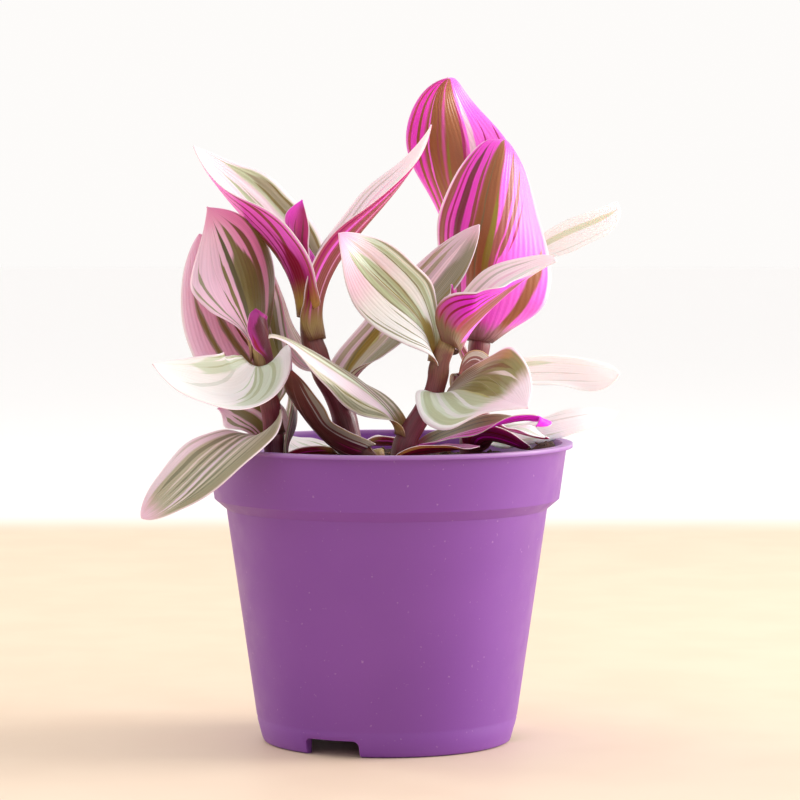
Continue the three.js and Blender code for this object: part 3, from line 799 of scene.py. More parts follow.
    CURLED = LeafFace(
        "leaf_curled_upper", Tone.OLIVE, Tone.MAGENTA, Tone.MAGENTA, Tone.CREAM, Tone.GARNET, 0.84, 0.16,
        stripes=stripes(
            (-0.5, 0.48, 0.68, Tone.OLIVE, -0.2), (-0.72, 0.05, 0.66, Tone.DARK_OLIVE, -0.2),
            (-0.4, 0.05, 0.62, Tone.DARK_OLIVE, -0.2), (0.02, 0.025, 0.76, Tone.PALE_PINK, -0.2),
            (0.22, 0.06, 0.8, Tone.CLARET), (0.44, 0.05, 0.8, Tone.CLARET), (0.72, 0.1, 0.8, Tone.GARNET),
        ),
        streaks=0.3, glow=0.15,
    )


class Unders:
    """Undersides, counted across as the upper faces are."""

    TALL = LeafFace(
        "leaf_tall_under", Tone.ORCHID, Tone.FUCHSIA, Tone.ORCHID, Tone.ORCHID, Tone.MAROON, 1.1, 0.1,
        stripes=stripes(
            # The pale pink stripe at -0.22 is a painted highlight: a streak of glare on the glossy
            # underside.
            (-0.22, 0.06, 0.96, Tone.PALE_PINK, -0.8), (0.13, 0.21, 1.2, Tone.BROWN, -0.83),
            (-0.04, 0.03, 1.0, Tone.CLARET, -0.86), (0.26, 0.03, 0.75, Tone.MOSS, -0.8),
            (0.55, 0.2, 1.2, Tone.BROWN, -0.75), (0.46, 0.022, 1.1, Tone.RUST, -0.75),
            (0.64, 0.018, 0.96, Tone.ORCHID, -0.7), (0.86, 0.035, 1.1, Tone.BROWN, -0.6),
            (1.05, 0.035, 1.1, Tone.BRICK, -0.5), (1.2, 0.03, 1.1, Tone.BROWN, -0.6),
            (-0.5, 0.02, 0.8, Tone.CLARET, -0.8), (-0.78, 0.02, 0.8, Tone.CLARET, -0.7),
        ),
        streaks=0.3,
    )
    BROAD = LeafFace(
        "leaf_broad_under", Tone.ORCHID, Tone.FUCHSIA, Tone.ORCHID, Tone.PALE_PINK, Tone.DUSK, 0.94, 0.1,
        stripes=stripes(
            (0.12, 0.18, 0.97, Tone.BROWN), (-0.17, 0.068, 0.93, Tone.RUST, -0.75),
            (-0.32, 0.046, 0.86, Tone.RUST, -1.1, 0.3), (-0.46, 0.026, 0.68, Tone.CLARET, -1.3, 0.36),
            (-0.02, 0.045, 0.7, Tone.MOSS, -0.1), (0.16, 0.014, 0.84, Tone.RUSSET),
            (0.33, 0.03, 0.88, Tone.RUST, 0.15), (0.55, 0.07, 0.9, Tone.MAROON, 0.15),
            (0.72, 0.02, 0.88, Tone.CLARET, 0.15), (0.86, 0.06, 0.9, Tone.RUST, 0.1),
            (-0.985, 0.095, 0.46, Tone.BROWN, -1.08, -0.1),
        ),
        streaks=0.3,
    )
    CRIMSON = LeafFace(
        "leaf_crimson_under", Tone.ORCHID, Tone.ORCHID, Tone.BLUSH, Tone.PALE_PINK, Tone.HONEY, 0.87, 0.2,
        Tone.CLARET, 0.28,
        stripes(
            (-0.7, 0.05, 0.8, Tone.RUST, -0.9), (-0.46, 0.03, 0.84, Tone.CLARET, -0.6),
            (-0.88, 0.025, 0.7, Tone.RUST), (-0.25, 0.022, 0.82, Tone.CLARET, -0.3),
            (0.0, 0.14, 0.62, Tone.RUST, 0.0, 0.2), (0.24, 0.03, 0.8, Tone.CLARET),
            (0.44, 0.04, 0.78, Tone.RUST, 0.3), (0.66, 0.03, 0.74, Tone.CLARET, 0.4),
            (-0.5, 0.18, 0.42, Tone.GARNET), (0.45, 0.14, 0.4, Tone.GARNET),
        ),
        streaks=0.4,
    )
    WINE = LeafFace(
        "leaf_wine_under", Tone.RASPBERRY, Tone.RASPBERRY, Tone.RASPBERRY, Tone.BLUSH, Tone.BRONZE, 0.97,
        0.16, Tone.RUST, 0.36,
        stripes(
            (-0.84, 0.05, 0.9, Tone.CLARET), (-0.62, 0.04, 0.86, Tone.ORCHID),
            (-0.42, 0.09, 0.88, Tone.RUST), (-0.24, 0.025, 0.9, Tone.PINK),
            (0.0, 0.12, 0.9, Tone.RUST), (0.24, 0.025, 0.9, Tone.PINK),
            (0.42, 0.09, 0.88, Tone.RUST), (0.64, 0.05, 0.86, Tone.ORCHID),
            (0.84, 0.05, 0.9, Tone.CLARET),
        ),
    )
    BOAT = LeafFace(
        "leaf_boat_under", Tone.MAGENTA, Tone.MAGENTA, Tone.BLUSH, Tone.WHITE, Tone.RUSSET, 0.74, 0.1,
        Tone.RUST, 0.16,
        stripes(
            (0.14, 0.16, 0.76, Tone.RUST), (-0.5, 0.05, 0.7, Tone.CLARET),
            (0.34, 0.04, 0.74, Tone.BRICK), (0.48, 0.026, 0.56, Tone.CLARET),
            (0.6, 0.024, 0.46, Tone.GARNET, -0.2), (0.74, 0.022, 0.42, Tone.GARNET, -0.3),
            (0.86, 0.02, 0.34, Tone.GARNET, -0.3), (0.0, 0.04, 0.8, Tone.ORCHID),
        ),
        streaks=0.35,
    )
    PURPLE = LeafFace(
        "leaf_purple_under", Tone.STEM, Tone.STEM, Tone.RUST, Tone.BRONZE, Tone.UMBER, 0.95, 0.12,
        Tone.PORT, 0.3,
        stripes(
            (-0.82, 0.14, 0.95, Tone.ASH, 0.1), (-0.56, 0.03, 0.9, Tone.GREY, 0.3),
            (-0.68, 0.02, 0.85, Tone.COCOA, 0.2), (-0.36, 0.05, 0.86, Tone.COCOA, 0.2),
            (-0.2, 0.03, 0.34, Tone.CLARET, 0.3), (0.1, 0.03, 0.86, Tone.DUSK),
            (0.4, 0.06, 0.8, Tone.COCOA), (0.7, 0.05, 0.9, Tone.DUSK), (0.9, 0.07, 0.92, Tone.STONE),
        ),
    )
    BRIGHT = LeafFace(
        "leaf_bright_under", Tone.FUCHSIA, Tone.CLARET, Tone.MAGENTA, Tone.BLUSH, Tone.MAROON, 0.97,
        0.3,
        stripes=stripes(
            (-0.6, 0.04, 0.8, Tone.CLARET), (0.02, 0.08, 0.86, Tone.GARNET),
            (0.2, 0.05, 0.9, Tone.RASPBERRY), (0.64, 0.06, 0.9, Tone.MAROON),
        ),
    )
    SHADED = LeafFace(
        "leaf_low_under", Tone.CLARET, Tone.PLUM, Tone.CLARET, Tone.DUSK, Tone.PORT, 0.97, 0.24,
        stripes=stripes(
            (-0.7, 0.12, 0.9, Tone.PORT), (-0.3, 0.06, 0.9, Tone.GARNET), (0.0, 0.05, 0.9, Tone.PORT),
            (0.3, 0.05, 0.9, Tone.MAGENTA), (0.6, 0.05, 0.9, Tone.GARNET),
        ),
        streaks=0.4,
    )
    BUD = LeafFace(
        "leaf_bud_under", Tone.PLUM, Tone.PLUM, Tone.PLUM, Tone.PINK, Tone.PORT, 0.94, 0.3,
        stripes=stripes(
            (-0.05, 0.62, 0.82, Tone.PORT, 0.1), (0.78, 0.08, 0.6, Tone.GARNET),
            (-0.1, 0.08, 0.7, Tone.COCOA),
        ),
    )
    CURLED = LeafFace(
        "leaf_curled_under", Tone.MAGENTA, Tone.MAGENTA, Tone.MAGENTA, Tone.BLUSH, Tone.CLARET, 0.97, 0.2,
        stripes=stripes(
            (-0.7, 0.05, 0.9, Tone.CLARET), (-0.3, 0.06, 0.9, Tone.RASPBERRY),
            (0.1, 0.08, 0.9, Tone.CLARET), (0.5, 0.04, 0.9, Tone.RASPBERRY),
        ),
    )
    EMBER = LeafFace(
        "leaf_ember_under", Tone.GARNET, Tone.GARNET, Tone.GARNET, Tone.EMBER, Tone.UMBER, 0.97, 0.2,
        stripes=stripes(
            (-0.84, 0.08, 1.1, Tone.EMBER), (0.84, 0.08, 1.1, Tone.EMBER), (0.0, 0.1, 0.9, Tone.CLARET),
            (-0.4, 0.05, 0.9, Tone.PORT), (0.4, 0.05, 0.9, Tone.PORT),
        ),
    )


# Stems


class StemPath:
    """A smooth path through a stem's joints, read by its share of the length."""

    STEPS_A_JOINT = 40
    AXIS_REACH = 0.004

    def __init__(self, joints: tuple[Triple, ...]) -> None:
        """Lay the path.

        Args:
            joints: The points that it passes, in millimetres.
        """
        points = [Vector(joint) for joint in joints]
        ends = [points[0] * 2 - points[1], *points, points[-1] * 2 - points[-2]]
        self.places = [points[0]]
        self.reach = [0.0]
        for i in range(1, len(ends) - 2):
            before, start, stop, after = ends[i - 1:i + 3]
            for step in range(1, self.STEPS_A_JOINT + 1):
                t = step / self.STEPS_A_JOINT
                place = 0.5 * (
                    2 * start + (stop - before) * t + (2 * before - 5 * start + 4 * stop - after) * t * t
                    + (3 * start - before - 3 * stop + after) * t ** 3)
                self.reach.append(self.reach[-1] + (place - self.places[-1]).length)
                self.places.append(place)

    def point(self, share: float) -> Vector:
        """Give the point at a share of the length.

        Args:
            share: From 0 at the first joint to 1 at the last.

        Returns:
            The point, in millimetres.
        """
        step, part = locate(self.reach, min(max(share, 0.0), 1.0) * self.reach[-1])
        return self.places[step].lerp(self.places[step + 1], part)

    def axis(self, share: float) -> Vector:
        """Give the direction at a share of the length.

        Args:
            share: From 0 at the first joint to 1 at the last.

        Returns:
            A unit vector up the stem.
        """
        return (self.point(share + self.AXIS_REACH) - self.point(share - self.AXIS_REACH)).normalized()


@dataclass(frozen=True)
class Stem:
    """One fleshy stem. Its joints are where it bends, in millimetres.

    The nodes are the shares of its length at which it swells. Ridges run along it and turn slowly.
    """

    name: str
    joints: tuple[Triple, ...]
    base_radius: float
    top_radius: float
    nodes: tuple[float, ...] = ()

    SIDES = 28
    RINGS = 64
    ROOT_DEPTH = 10.0
    ROOT_SHARE = -0.2
    SWELL = 0.3
    SWELL_REACH = 0.05
    RIDGES = 5
    RIDGE_TURN = 9
    RIDGE_HEIGHT = 0.06
    BUMP_PLACE = (2, 2, 14)
    BUMP_HEIGHT = 0.05
    TOP_ROUND = 0.6
    TOP_DOME = 0.5
    SHARP_DEGREES = 50

    @property
    def path(self) -> StemPath:
        """The path through the joints."""
        return StemPath(self.joints)

    def radius(self, share: float) -> float:
        """Give the plain radius at a share of the length.

        Args:
            share: From 0 at the first joint to 1 at the last.

        Returns:
            The radius, in millimetres.
        """
        return self.base_radius + (self.top_radius - self.base_radius) * share

    def build(self) -> bpy.types.Object:
        """Extrude the stem ring by ring, with a swelling just under each leaf.

        Returns:
            The finished piece.
        """
        path = self.path
        tool = bmesh.new()
        layer = tool.loops.layers.uv.new(StemSkin.MAP)
        shares = [self.ROOT_SHARE] + [ring / self.RINGS for ring in range(self.RINGS + 1)]
        rows = [bmesh.ops.create_circle(tool, segments=self.SIDES, radius=1.0)["verts"]]
        start = [vert.co.copy() for vert in rows[0]]
        for _ in shares[1:]:
            rows.append(grow_ring(tool, rows[-1]))
        for share, row in zip(shares, rows):
            self.place_ring(path, share, row, start)
        tool.faces.new(rows[0])
        top = tool.faces.new(rows[-1])
        bmesh.ops.recalc_face_normals(tool, faces=tool.faces)
        bmesh.ops.inset_region(
            tool, faces=[top], thickness=self.TOP_ROUND * MM, depth=self.TOP_DOME * MM)
        self.lay_map(tool, layer, shares, rows)
        return finish_piece(tool, f"{self.name}_flesh", self.SHARP_DEGREES)

    def lay_map(
        self, tool: bmesh.types.BMesh, layer: bmesh.types.BMLayerItem, shares: list[float],
        rows: list[list[bmesh.types.BMVert]]
    ) -> None:
        """Lay the skin's map: round the stem in one direction and along it in the other.

        Args:
            tool: The stem's bmesh.
            layer: The map's layer.
            shares: The share of the length at each ring.
            rows: The rings.
        """
        place = {vert: (column, share) for share, row in zip(shares, rows)
                 for column, vert in enumerate(row)}
        for face in tool.faces:
            columns = [place[vert][0] for vert in face.verts if vert in place]
            wraps = len(columns) == 4 and max(columns) - min(columns) > self.SIDES / 2
            for loop in face.loops:
                column, share = place.get(loop.vert, (0, 1.0))
                if wraps and column < self.SIDES / 2:
                    column += self.SIDES
                loop[layer].uv = (column / self.SIDES, max(share, 0.0))

    def place_ring(
        self, path: StemPath, share: float, row: list[bmesh.types.BMVert], start: list[Vector]
    ) -> None:
        """Move one ring to its place on the path.

        Args:
            path: The stem's path.
            share: Where the ring goes. Below 0 it is the root's end.
            row: The ring's vertices.
            start: The unit circle that the ring was made from.
        """
        axis = path.axis(max(share, 0.0))
        centre = path.point(max(share, 0.0))
        if share < 0:
            centre = centre - Vector((0, 0, self.ROOT_DEPTH))
        right = axis.cross(Vector((0, 1, 0))).normalized()
        back = axis.cross(right)
        swell = sum(
            math.exp(-((share - node) / self.SWELL_REACH) ** 2) * self.SWELL for node in self.nodes)
        across, behind, along = self.BUMP_PLACE
        for vert, unit in zip(row, start):
            angle = math.atan2(unit.y, unit.x)
            ridge = self.RIDGE_HEIGHT * math.sin(self.RIDGES * angle + self.RIDGE_TURN * share)
            bump = self.BUMP_HEIGHT * noise.noise(
                Vector((unit.x * across, unit.y * behind, share * along)))
            radius = self.radius(max(share, 0.0)) + swell + (ridge + bump)
            vert.co = (centre + right * unit.x * radius + back * unit.y * radius) * MM


@dataclass(frozen=True)
class StemSkin:
    """The skin of a stem: dark red-brown low down, lighter and greener toward the top."""

    name: str = "stem_skin"
    upper: tuple[int, int, int] = (124, 72, 62)
    middle_share: float = 0.5
    upper_share: float = 0.8
    blotch_scale: float = 160.0
    blotch_shift: float = 0.5
    streak_scale: Triple = (60, 6, 1)
    streak_share: float = 0.8
    streak_dark: Colour = (0.6, 0.6, 0.6, 1)
    streak_light: Colour = (1.15, 1.1, 1.1, 1)

    MAP = "stem_map"

    def material(self) -> bpy.types.Material:
        """Build the skin.

        Returns:
            The material, which all stems share.
        """
        if self.name in bpy.data.materials:
            return bpy.data.materials[self.name]
        bench = SkinBench(self.name)
        layout = bench.add("ShaderNodeUVMap", uv_map=self.MAP).outputs[0]
        blotch = bench.grain(bench.place, self.blotch_scale, 4)
        height = bench.shifted(
            bench.part(layout, 1), bench.maths("SUBTRACT", blotch, 0.5), self.blotch_shift)
        ramp = bench.add("ShaderNodeValToRGB", {0: height})
        stops = ramp.color_ramp.elements
        stops[0].position, stops[0].color = 0.0, Tone.UMBER.linear
        stops[1].position, stops[1].color = 1.0, Tone.BRONZE.linear
        stops.new(self.middle_share).color = Tone.MAROON.linear
        stops.new(self.upper_share).color = srgb(*self.upper)
        streaks = bench.long_grain(layout, self.streak_scale, 4)
        shade = bench.mix(bench.spread(streaks, 0.3, 0.7), self.streak_dark, self.streak_light)
        colour = bench.mix(self.streak_share, ramp.outputs[0], shade, "MULTIPLY")
        bench.dress(colour, bench.spread(blotch, low=0.2, high=0.8, to_low=0.3, to_high=0.5))
        bench.emboss(streaks, strength=0.4, distance=0.0004)
        bench.let_light_in(weight=0.15, radius=(1.0, 0.4, 0.3), scale=0.001)
        return bench.material


STEMS = {
    "left": Stem(
        "stem_left",
        ((-30.5, -22, 76), (-31.5, -22, 89.5), (-32.5, -22.5, 98), (-34, -23, 106), (-35, -24, 113)),
        2.9, 2.3, (0.3, 0.55, 0.8)),
    "centre": Stem(
        "stem_centre",
        ((-8.5, -6, 76), (-11, -6, 88.5), (-14, -5.5, 97), (-18, -5, 105), (-21, -4, 113.5),
         (-21.5, -3, 120.5), (-22, -2, 125.5)),
        3.4, 2.9, (0.3, 0.56, 0.7)),
    "right": Stem(
        "stem_right",
        ((3, -20, 76), (5, -20, 85), (8, -19, 91), (12, -18, 97), (14, -18, 103), (15, -18, 108.5),
         (18, -17, 115.5)),
        3.2, 2.5, (0.22, 0.5, 0.75)),
    "front": Stem("stem_front", ((-1.5, -27, 76), (-3, -27, 84)), 2.6, 2.3),
    "back": Stem(
        "stem_back",
        ((24, 16, 72), (24.5, 16, 87), (25, 16, 100), (26.5, 17, 111.5), (28, 19, 120),
         (29.5, 22, 128.5)),
        3.4, 2.6, (0.2, 0.34, 0.68)),
    "rear": Stem(
        "stem_rear",
        ((24, 31, 71), (25, 32, 85.5), (26, 33, 99), (27, 33, 110.5), (28, 34, 122), (30, 35, 132)),
        2.7, 2.2, (0.16, 0.4, 0.74)),
}


# Leaves


class Spine:
    """The midrib's curve, with the direction of the upper face carried along it."""

    STEPS = 60

    def __init__(self, start: Vector, bend: Vector, knee: Vector, tip: Vector, face: Vector) -> None:
        """Lay the curve and carry the face direction.

        Args:
            start: Where the leaf leaves the stem.
            bend: The first handle.
            knee: The second handle.
            tip: The leaf's tip.
            face: The direction of the upper face at the start.
        """
        self.points: list[Vector] = []
        self.tangents: list[Vector] = []
        self.faces: list[Vector] = []
        self.lengths = [0.0]
        carried = face.copy()
        for step in range(self.STEPS + 1):
            t = step / self.STEPS
            s = 1 - t
            point = start * s ** 3 + bend * 3 * s * s * t + knee * 3 * s * t * t + tip * t ** 3
            tangent = (bend - start) * s * s + (knee - bend) * 2 * s * t + (tip - knee) * t * t
            tangent.normalize()
            carried = (carried - tangent * carried.dot(tangent)).normalized()
            if step:
                self.lengths.append(self.lengths[-1] + (point - self.points[-1]).length)
            self.points.append(point)
            self.tangents.append(tangent)
            self.faces.append(carried)

    def at(self, along: float) -> tuple[Vector, Vector, Vector]:
        """Give point, direction and face direction at a share of the length.

        Args:
            along: From 0 at the stem to 1 at the tip.

        Returns:
            The point, the tangent and the face direction.
        """
        step, part = locate(self.lengths, along * self.lengths[-1])
        point, tangent, face = (
            line[step].lerp(line[step + 1], part) for line in (self.points, self.tangents, self.faces))
        tangent.normalize()
        return point, tangent, (face - tangent * face.dot(tangent)).normalized()


@dataclass(frozen=True)
class LeafBlade:
    """One leaf: the stem it clasps and the sizes of its blade, in millimetres and degrees.

    It leaves the stem at a share of the stem's length, on the side at an angle from +X seen from
    above. Its midrib runs along the stem for the launch, bends by way of the knee and ends at the
    tip. Folds are in radians.
    """

    name: str
    stem: str
    slot: str
    upper: LeafFace
    under: LeafFace
    at: float
    side: float
    launch: float
    knee: Triple
    tip: Triple
    width: float
    roll: float = 0
    twist: float = 0
    fold_left: float = 0.4
    fold_right: float = 0.4
    curl: float = 0.1
    widest: float = 0.4
    taper: float = 1
    lobe_left: float = 1
    lobe_right: float = 1
    wrap: float = 2
    opening: float = 0.28
    wave: float = 0.25

    MAP = "leaf_map"
    THICKNESS = 0.5
    SOLID_THICKNESS = 0.7
    GAP = 0.35
    COLUMNS = 28
    ROWS = 60
    CROWDING = 1.25
    TIP_HALF_WIDTH = 0.25
    MARGIN_SHARE = 0.35
    MARGIN_THINNING = 4
    ROLL_SPAN = (0.05, 0.6)
    TWIST_SPAN = (0.4, 1)
    SHEATH_POWER = 1.2
    SHEATH_START = 0.02
    EASE = 0.4
    EASE_SPAN = (0.55, 1)
    LOBE_RISE = (0, 0.12)
    LOBE_FALL = (0, 0.45)
    LOBE_POWER = 1.5
    RIPPLE_FADE = (0, 0.25)
    RIPPLE_TURNS = 17
    RIPPLE_START_LEFT = 2.6
    RIPPLE_START_RIGHT = 0.9
    RIPPLE_STEM_SHIFT = 9
    SECTION_STEPS = 14
    FOLD_POWER = 0.35
    CURL_POWER = 3

    def build(self) -> bpy.types.Object:
        """Lay a grid over the leaf's surface and give it a thickness.

        Returns:
            The finished piece.
        """
        tool = bmesh.new()
        layer = tool.loops.layers.uv.new(self.MAP)
        grid = bmesh.ops.create_grid(
            tool, x_segments=self.COLUMNS, y_segments=self.ROWS, size=1.0)["verts"]
        place = {vert: (vert.co.x, (vert.co.y + 1) / 2) for vert in grid}
        rows: dict[float, list[bmesh.types.BMVert]] = {}
        for vert in grid:
            rows.setdefault(round(vert.co.y, 5), []).append(vert)
        spine = self.spine()
        for row in rows.values():
            self.lay_row(spine, row)
        for face in tool.faces:
            for loop in face.loops:
                across, share = place[loop.vert]
                loop[layer].uv = ((across + 1) / 2, 1 - (1 - share) ** self.CROWDING)
        tool.verts.index_update()
        reaches = [(vert.index, abs(place[vert][0])) for vert in grid]
        piece = finish_piece(tool, f"{self.name}_blade")
        self.thicken(piece, reaches)
        dress_piece(piece, self.upper.material(), self.under.material())
        return piece

    def thicken(self, piece: bpy.types.Object, reaches: list[tuple[int, float]]) -> None:
        """Give the sheet a thickness that thins out toward its margins.

        Args:
            piece: The leaf's sheet.
            reaches: The number of each vertex, and how far it is from the midrib, from 0 to 1.
        """
        group = piece.vertex_groups.new(name="flesh")
        for index, reach in reaches:
            group.add([index], 1 - reach ** self.MARGIN_THINNING, "REPLACE")
        wall = piece.modifiers.new("flesh", "SOLIDIFY")
        wall.thickness = self.THICKNESS * MM
        wall.offset = 0.0
        wall.use_even_offset = False
        wall.vertex_group = group.name
        wall.thickness_vertex_group = self.MARGIN_SHARE
        wall.material_offset = 1
        wall.material_offset_rim = 0

    def spine(self) -> Spine:
        """Lay the midrib from the stem to the tip.

        Returns:
            The midrib.
        """
        path = STEMS[self.stem].path
        axis = path.axis(self.at)
        angle = math.radians(self.side)
        outward = Vector((math.cos(angle), math.sin(angle), 0))
        outward = (outward - axis * outward.dot(axis)).normalized()
        start = path.point(self.at) + outward * self.sheath_radius
        return Spine(start, start + axis * self.launch, Vector(self.knee), Vector(self.tip), -outward)

    @property
    def sheath_radius(self) -> float:
        """The radius at which the base clasps the stem."""
        return STEMS[self.stem].radius(self.at) + self.GAP + self.SOLID_THICKNESS / 2

    def lay_row(self, spine: Spine, row: list[bmesh.types.BMVert]) -> None:
        """Move one row of the grid onto the leaf's surface.

        Args:
            spine: The leaf's midrib.
            row: The row's vertices, still on the flat grid.
        """
        along = 1 - (1 - (row[0].co.y + 1) / 2) ** self.CROWDING
        point, tangent, face = spine.at(along)
        turn = (
            self.roll * smooth_step(along, *self.ROLL_SPAN)
            + self.twist * smooth_step(along, *self.TWIST_SPAN))
        upper = Matrix.Rotation(math.radians(turn), 3, tangent) @ face
        side = tangent.cross(upper)
        half_width = self.half_width(along)
        spread = smooth_step(along, self.SHEATH_START, self.opening)
        ease = 1 - self.EASE * smooth_step(along, *self.EASE_SPAN)
        back = (1 - smooth_step(along, *self.LOBE_FALL)) * smooth_step(along, *self.LOBE_RISE)
        ripple = self.wave * spread * smooth_step(1 - along, *self.RIPPLE_FADE)
        waves = self.RIPPLE_TURNS * along + self.at * self.RIPPLE_STEM_SHIFT

        for vert in row:
            across = vert.co.x
            reach = abs(across)
            if across >= 0:
                fold, lobe, start = self.fold_right, self.lobe_right, self.RIPPLE_START_RIGHT
            else:
                fold, lobe, start = self.fold_left, self.lobe_left, self.RIPPLE_START_LEFT
            out, up = self.section(reach, spread, ease, fold)
            sway = ripple * reach * reach * math.sin(waves + start)
            place = (
                point + side * (math.copysign(out, across) * half_width)
                + upper * (up * half_width + sway) - tangent * (lobe * back * reach ** self.LOBE_POWER))
            vert.co = place * MM

    def half_width(self, along: float) -> float:
        """Give the half width of the leaf, with its sheath, at a share of its length.

        Args:
            along: From 0 at the stem to 1 at the tip.

        Returns:
            The half width, in millimetres.
        """
        rise = self.taper * self.widest / (1 - self.widest)
        near = max(along, 1e-4) / self.widest
        close = max(1 - along, 0.0) / (1 - self.widest)
        blade = self.width / 2 * near ** rise * close ** self.taper
        closed = max(1 - along / self.opening, 0)
        sheath = self.sheath_radius * self.wrap * closed ** self.SHEATH_POWER
        return max(math.hypot(sheath, blade), self.TIP_HALF_WIDTH)

    def section(self, reach: float, spread: float, ease: float, fold: float) -> tuple[float, float]:
        """Run along the leaf's cross-section from the midrib.

        Args:
            reach: How far across, from 0 to 1.
            spread: How far the sheath has opened into a blade.
            ease: How much of the fold is left toward the tip.
            fold: The fold of this half, in radians.

        Returns:
            How far out and how far up the section has come.
        """
        out = up = 0.0
        length = reach / self.SECTION_STEPS
        for i in range(self.SECTION_STEPS):
            f = (i + 0.5) * length
            bend = fold * f ** self.FOLD_POWER - self.curl * f ** self.CURL_POWER
            slope = self.wrap * (1 - spread) * f + spread * ease * bend
            out += math.cos(slope) * length
            up += math.sin(slope) * length
        return out, up


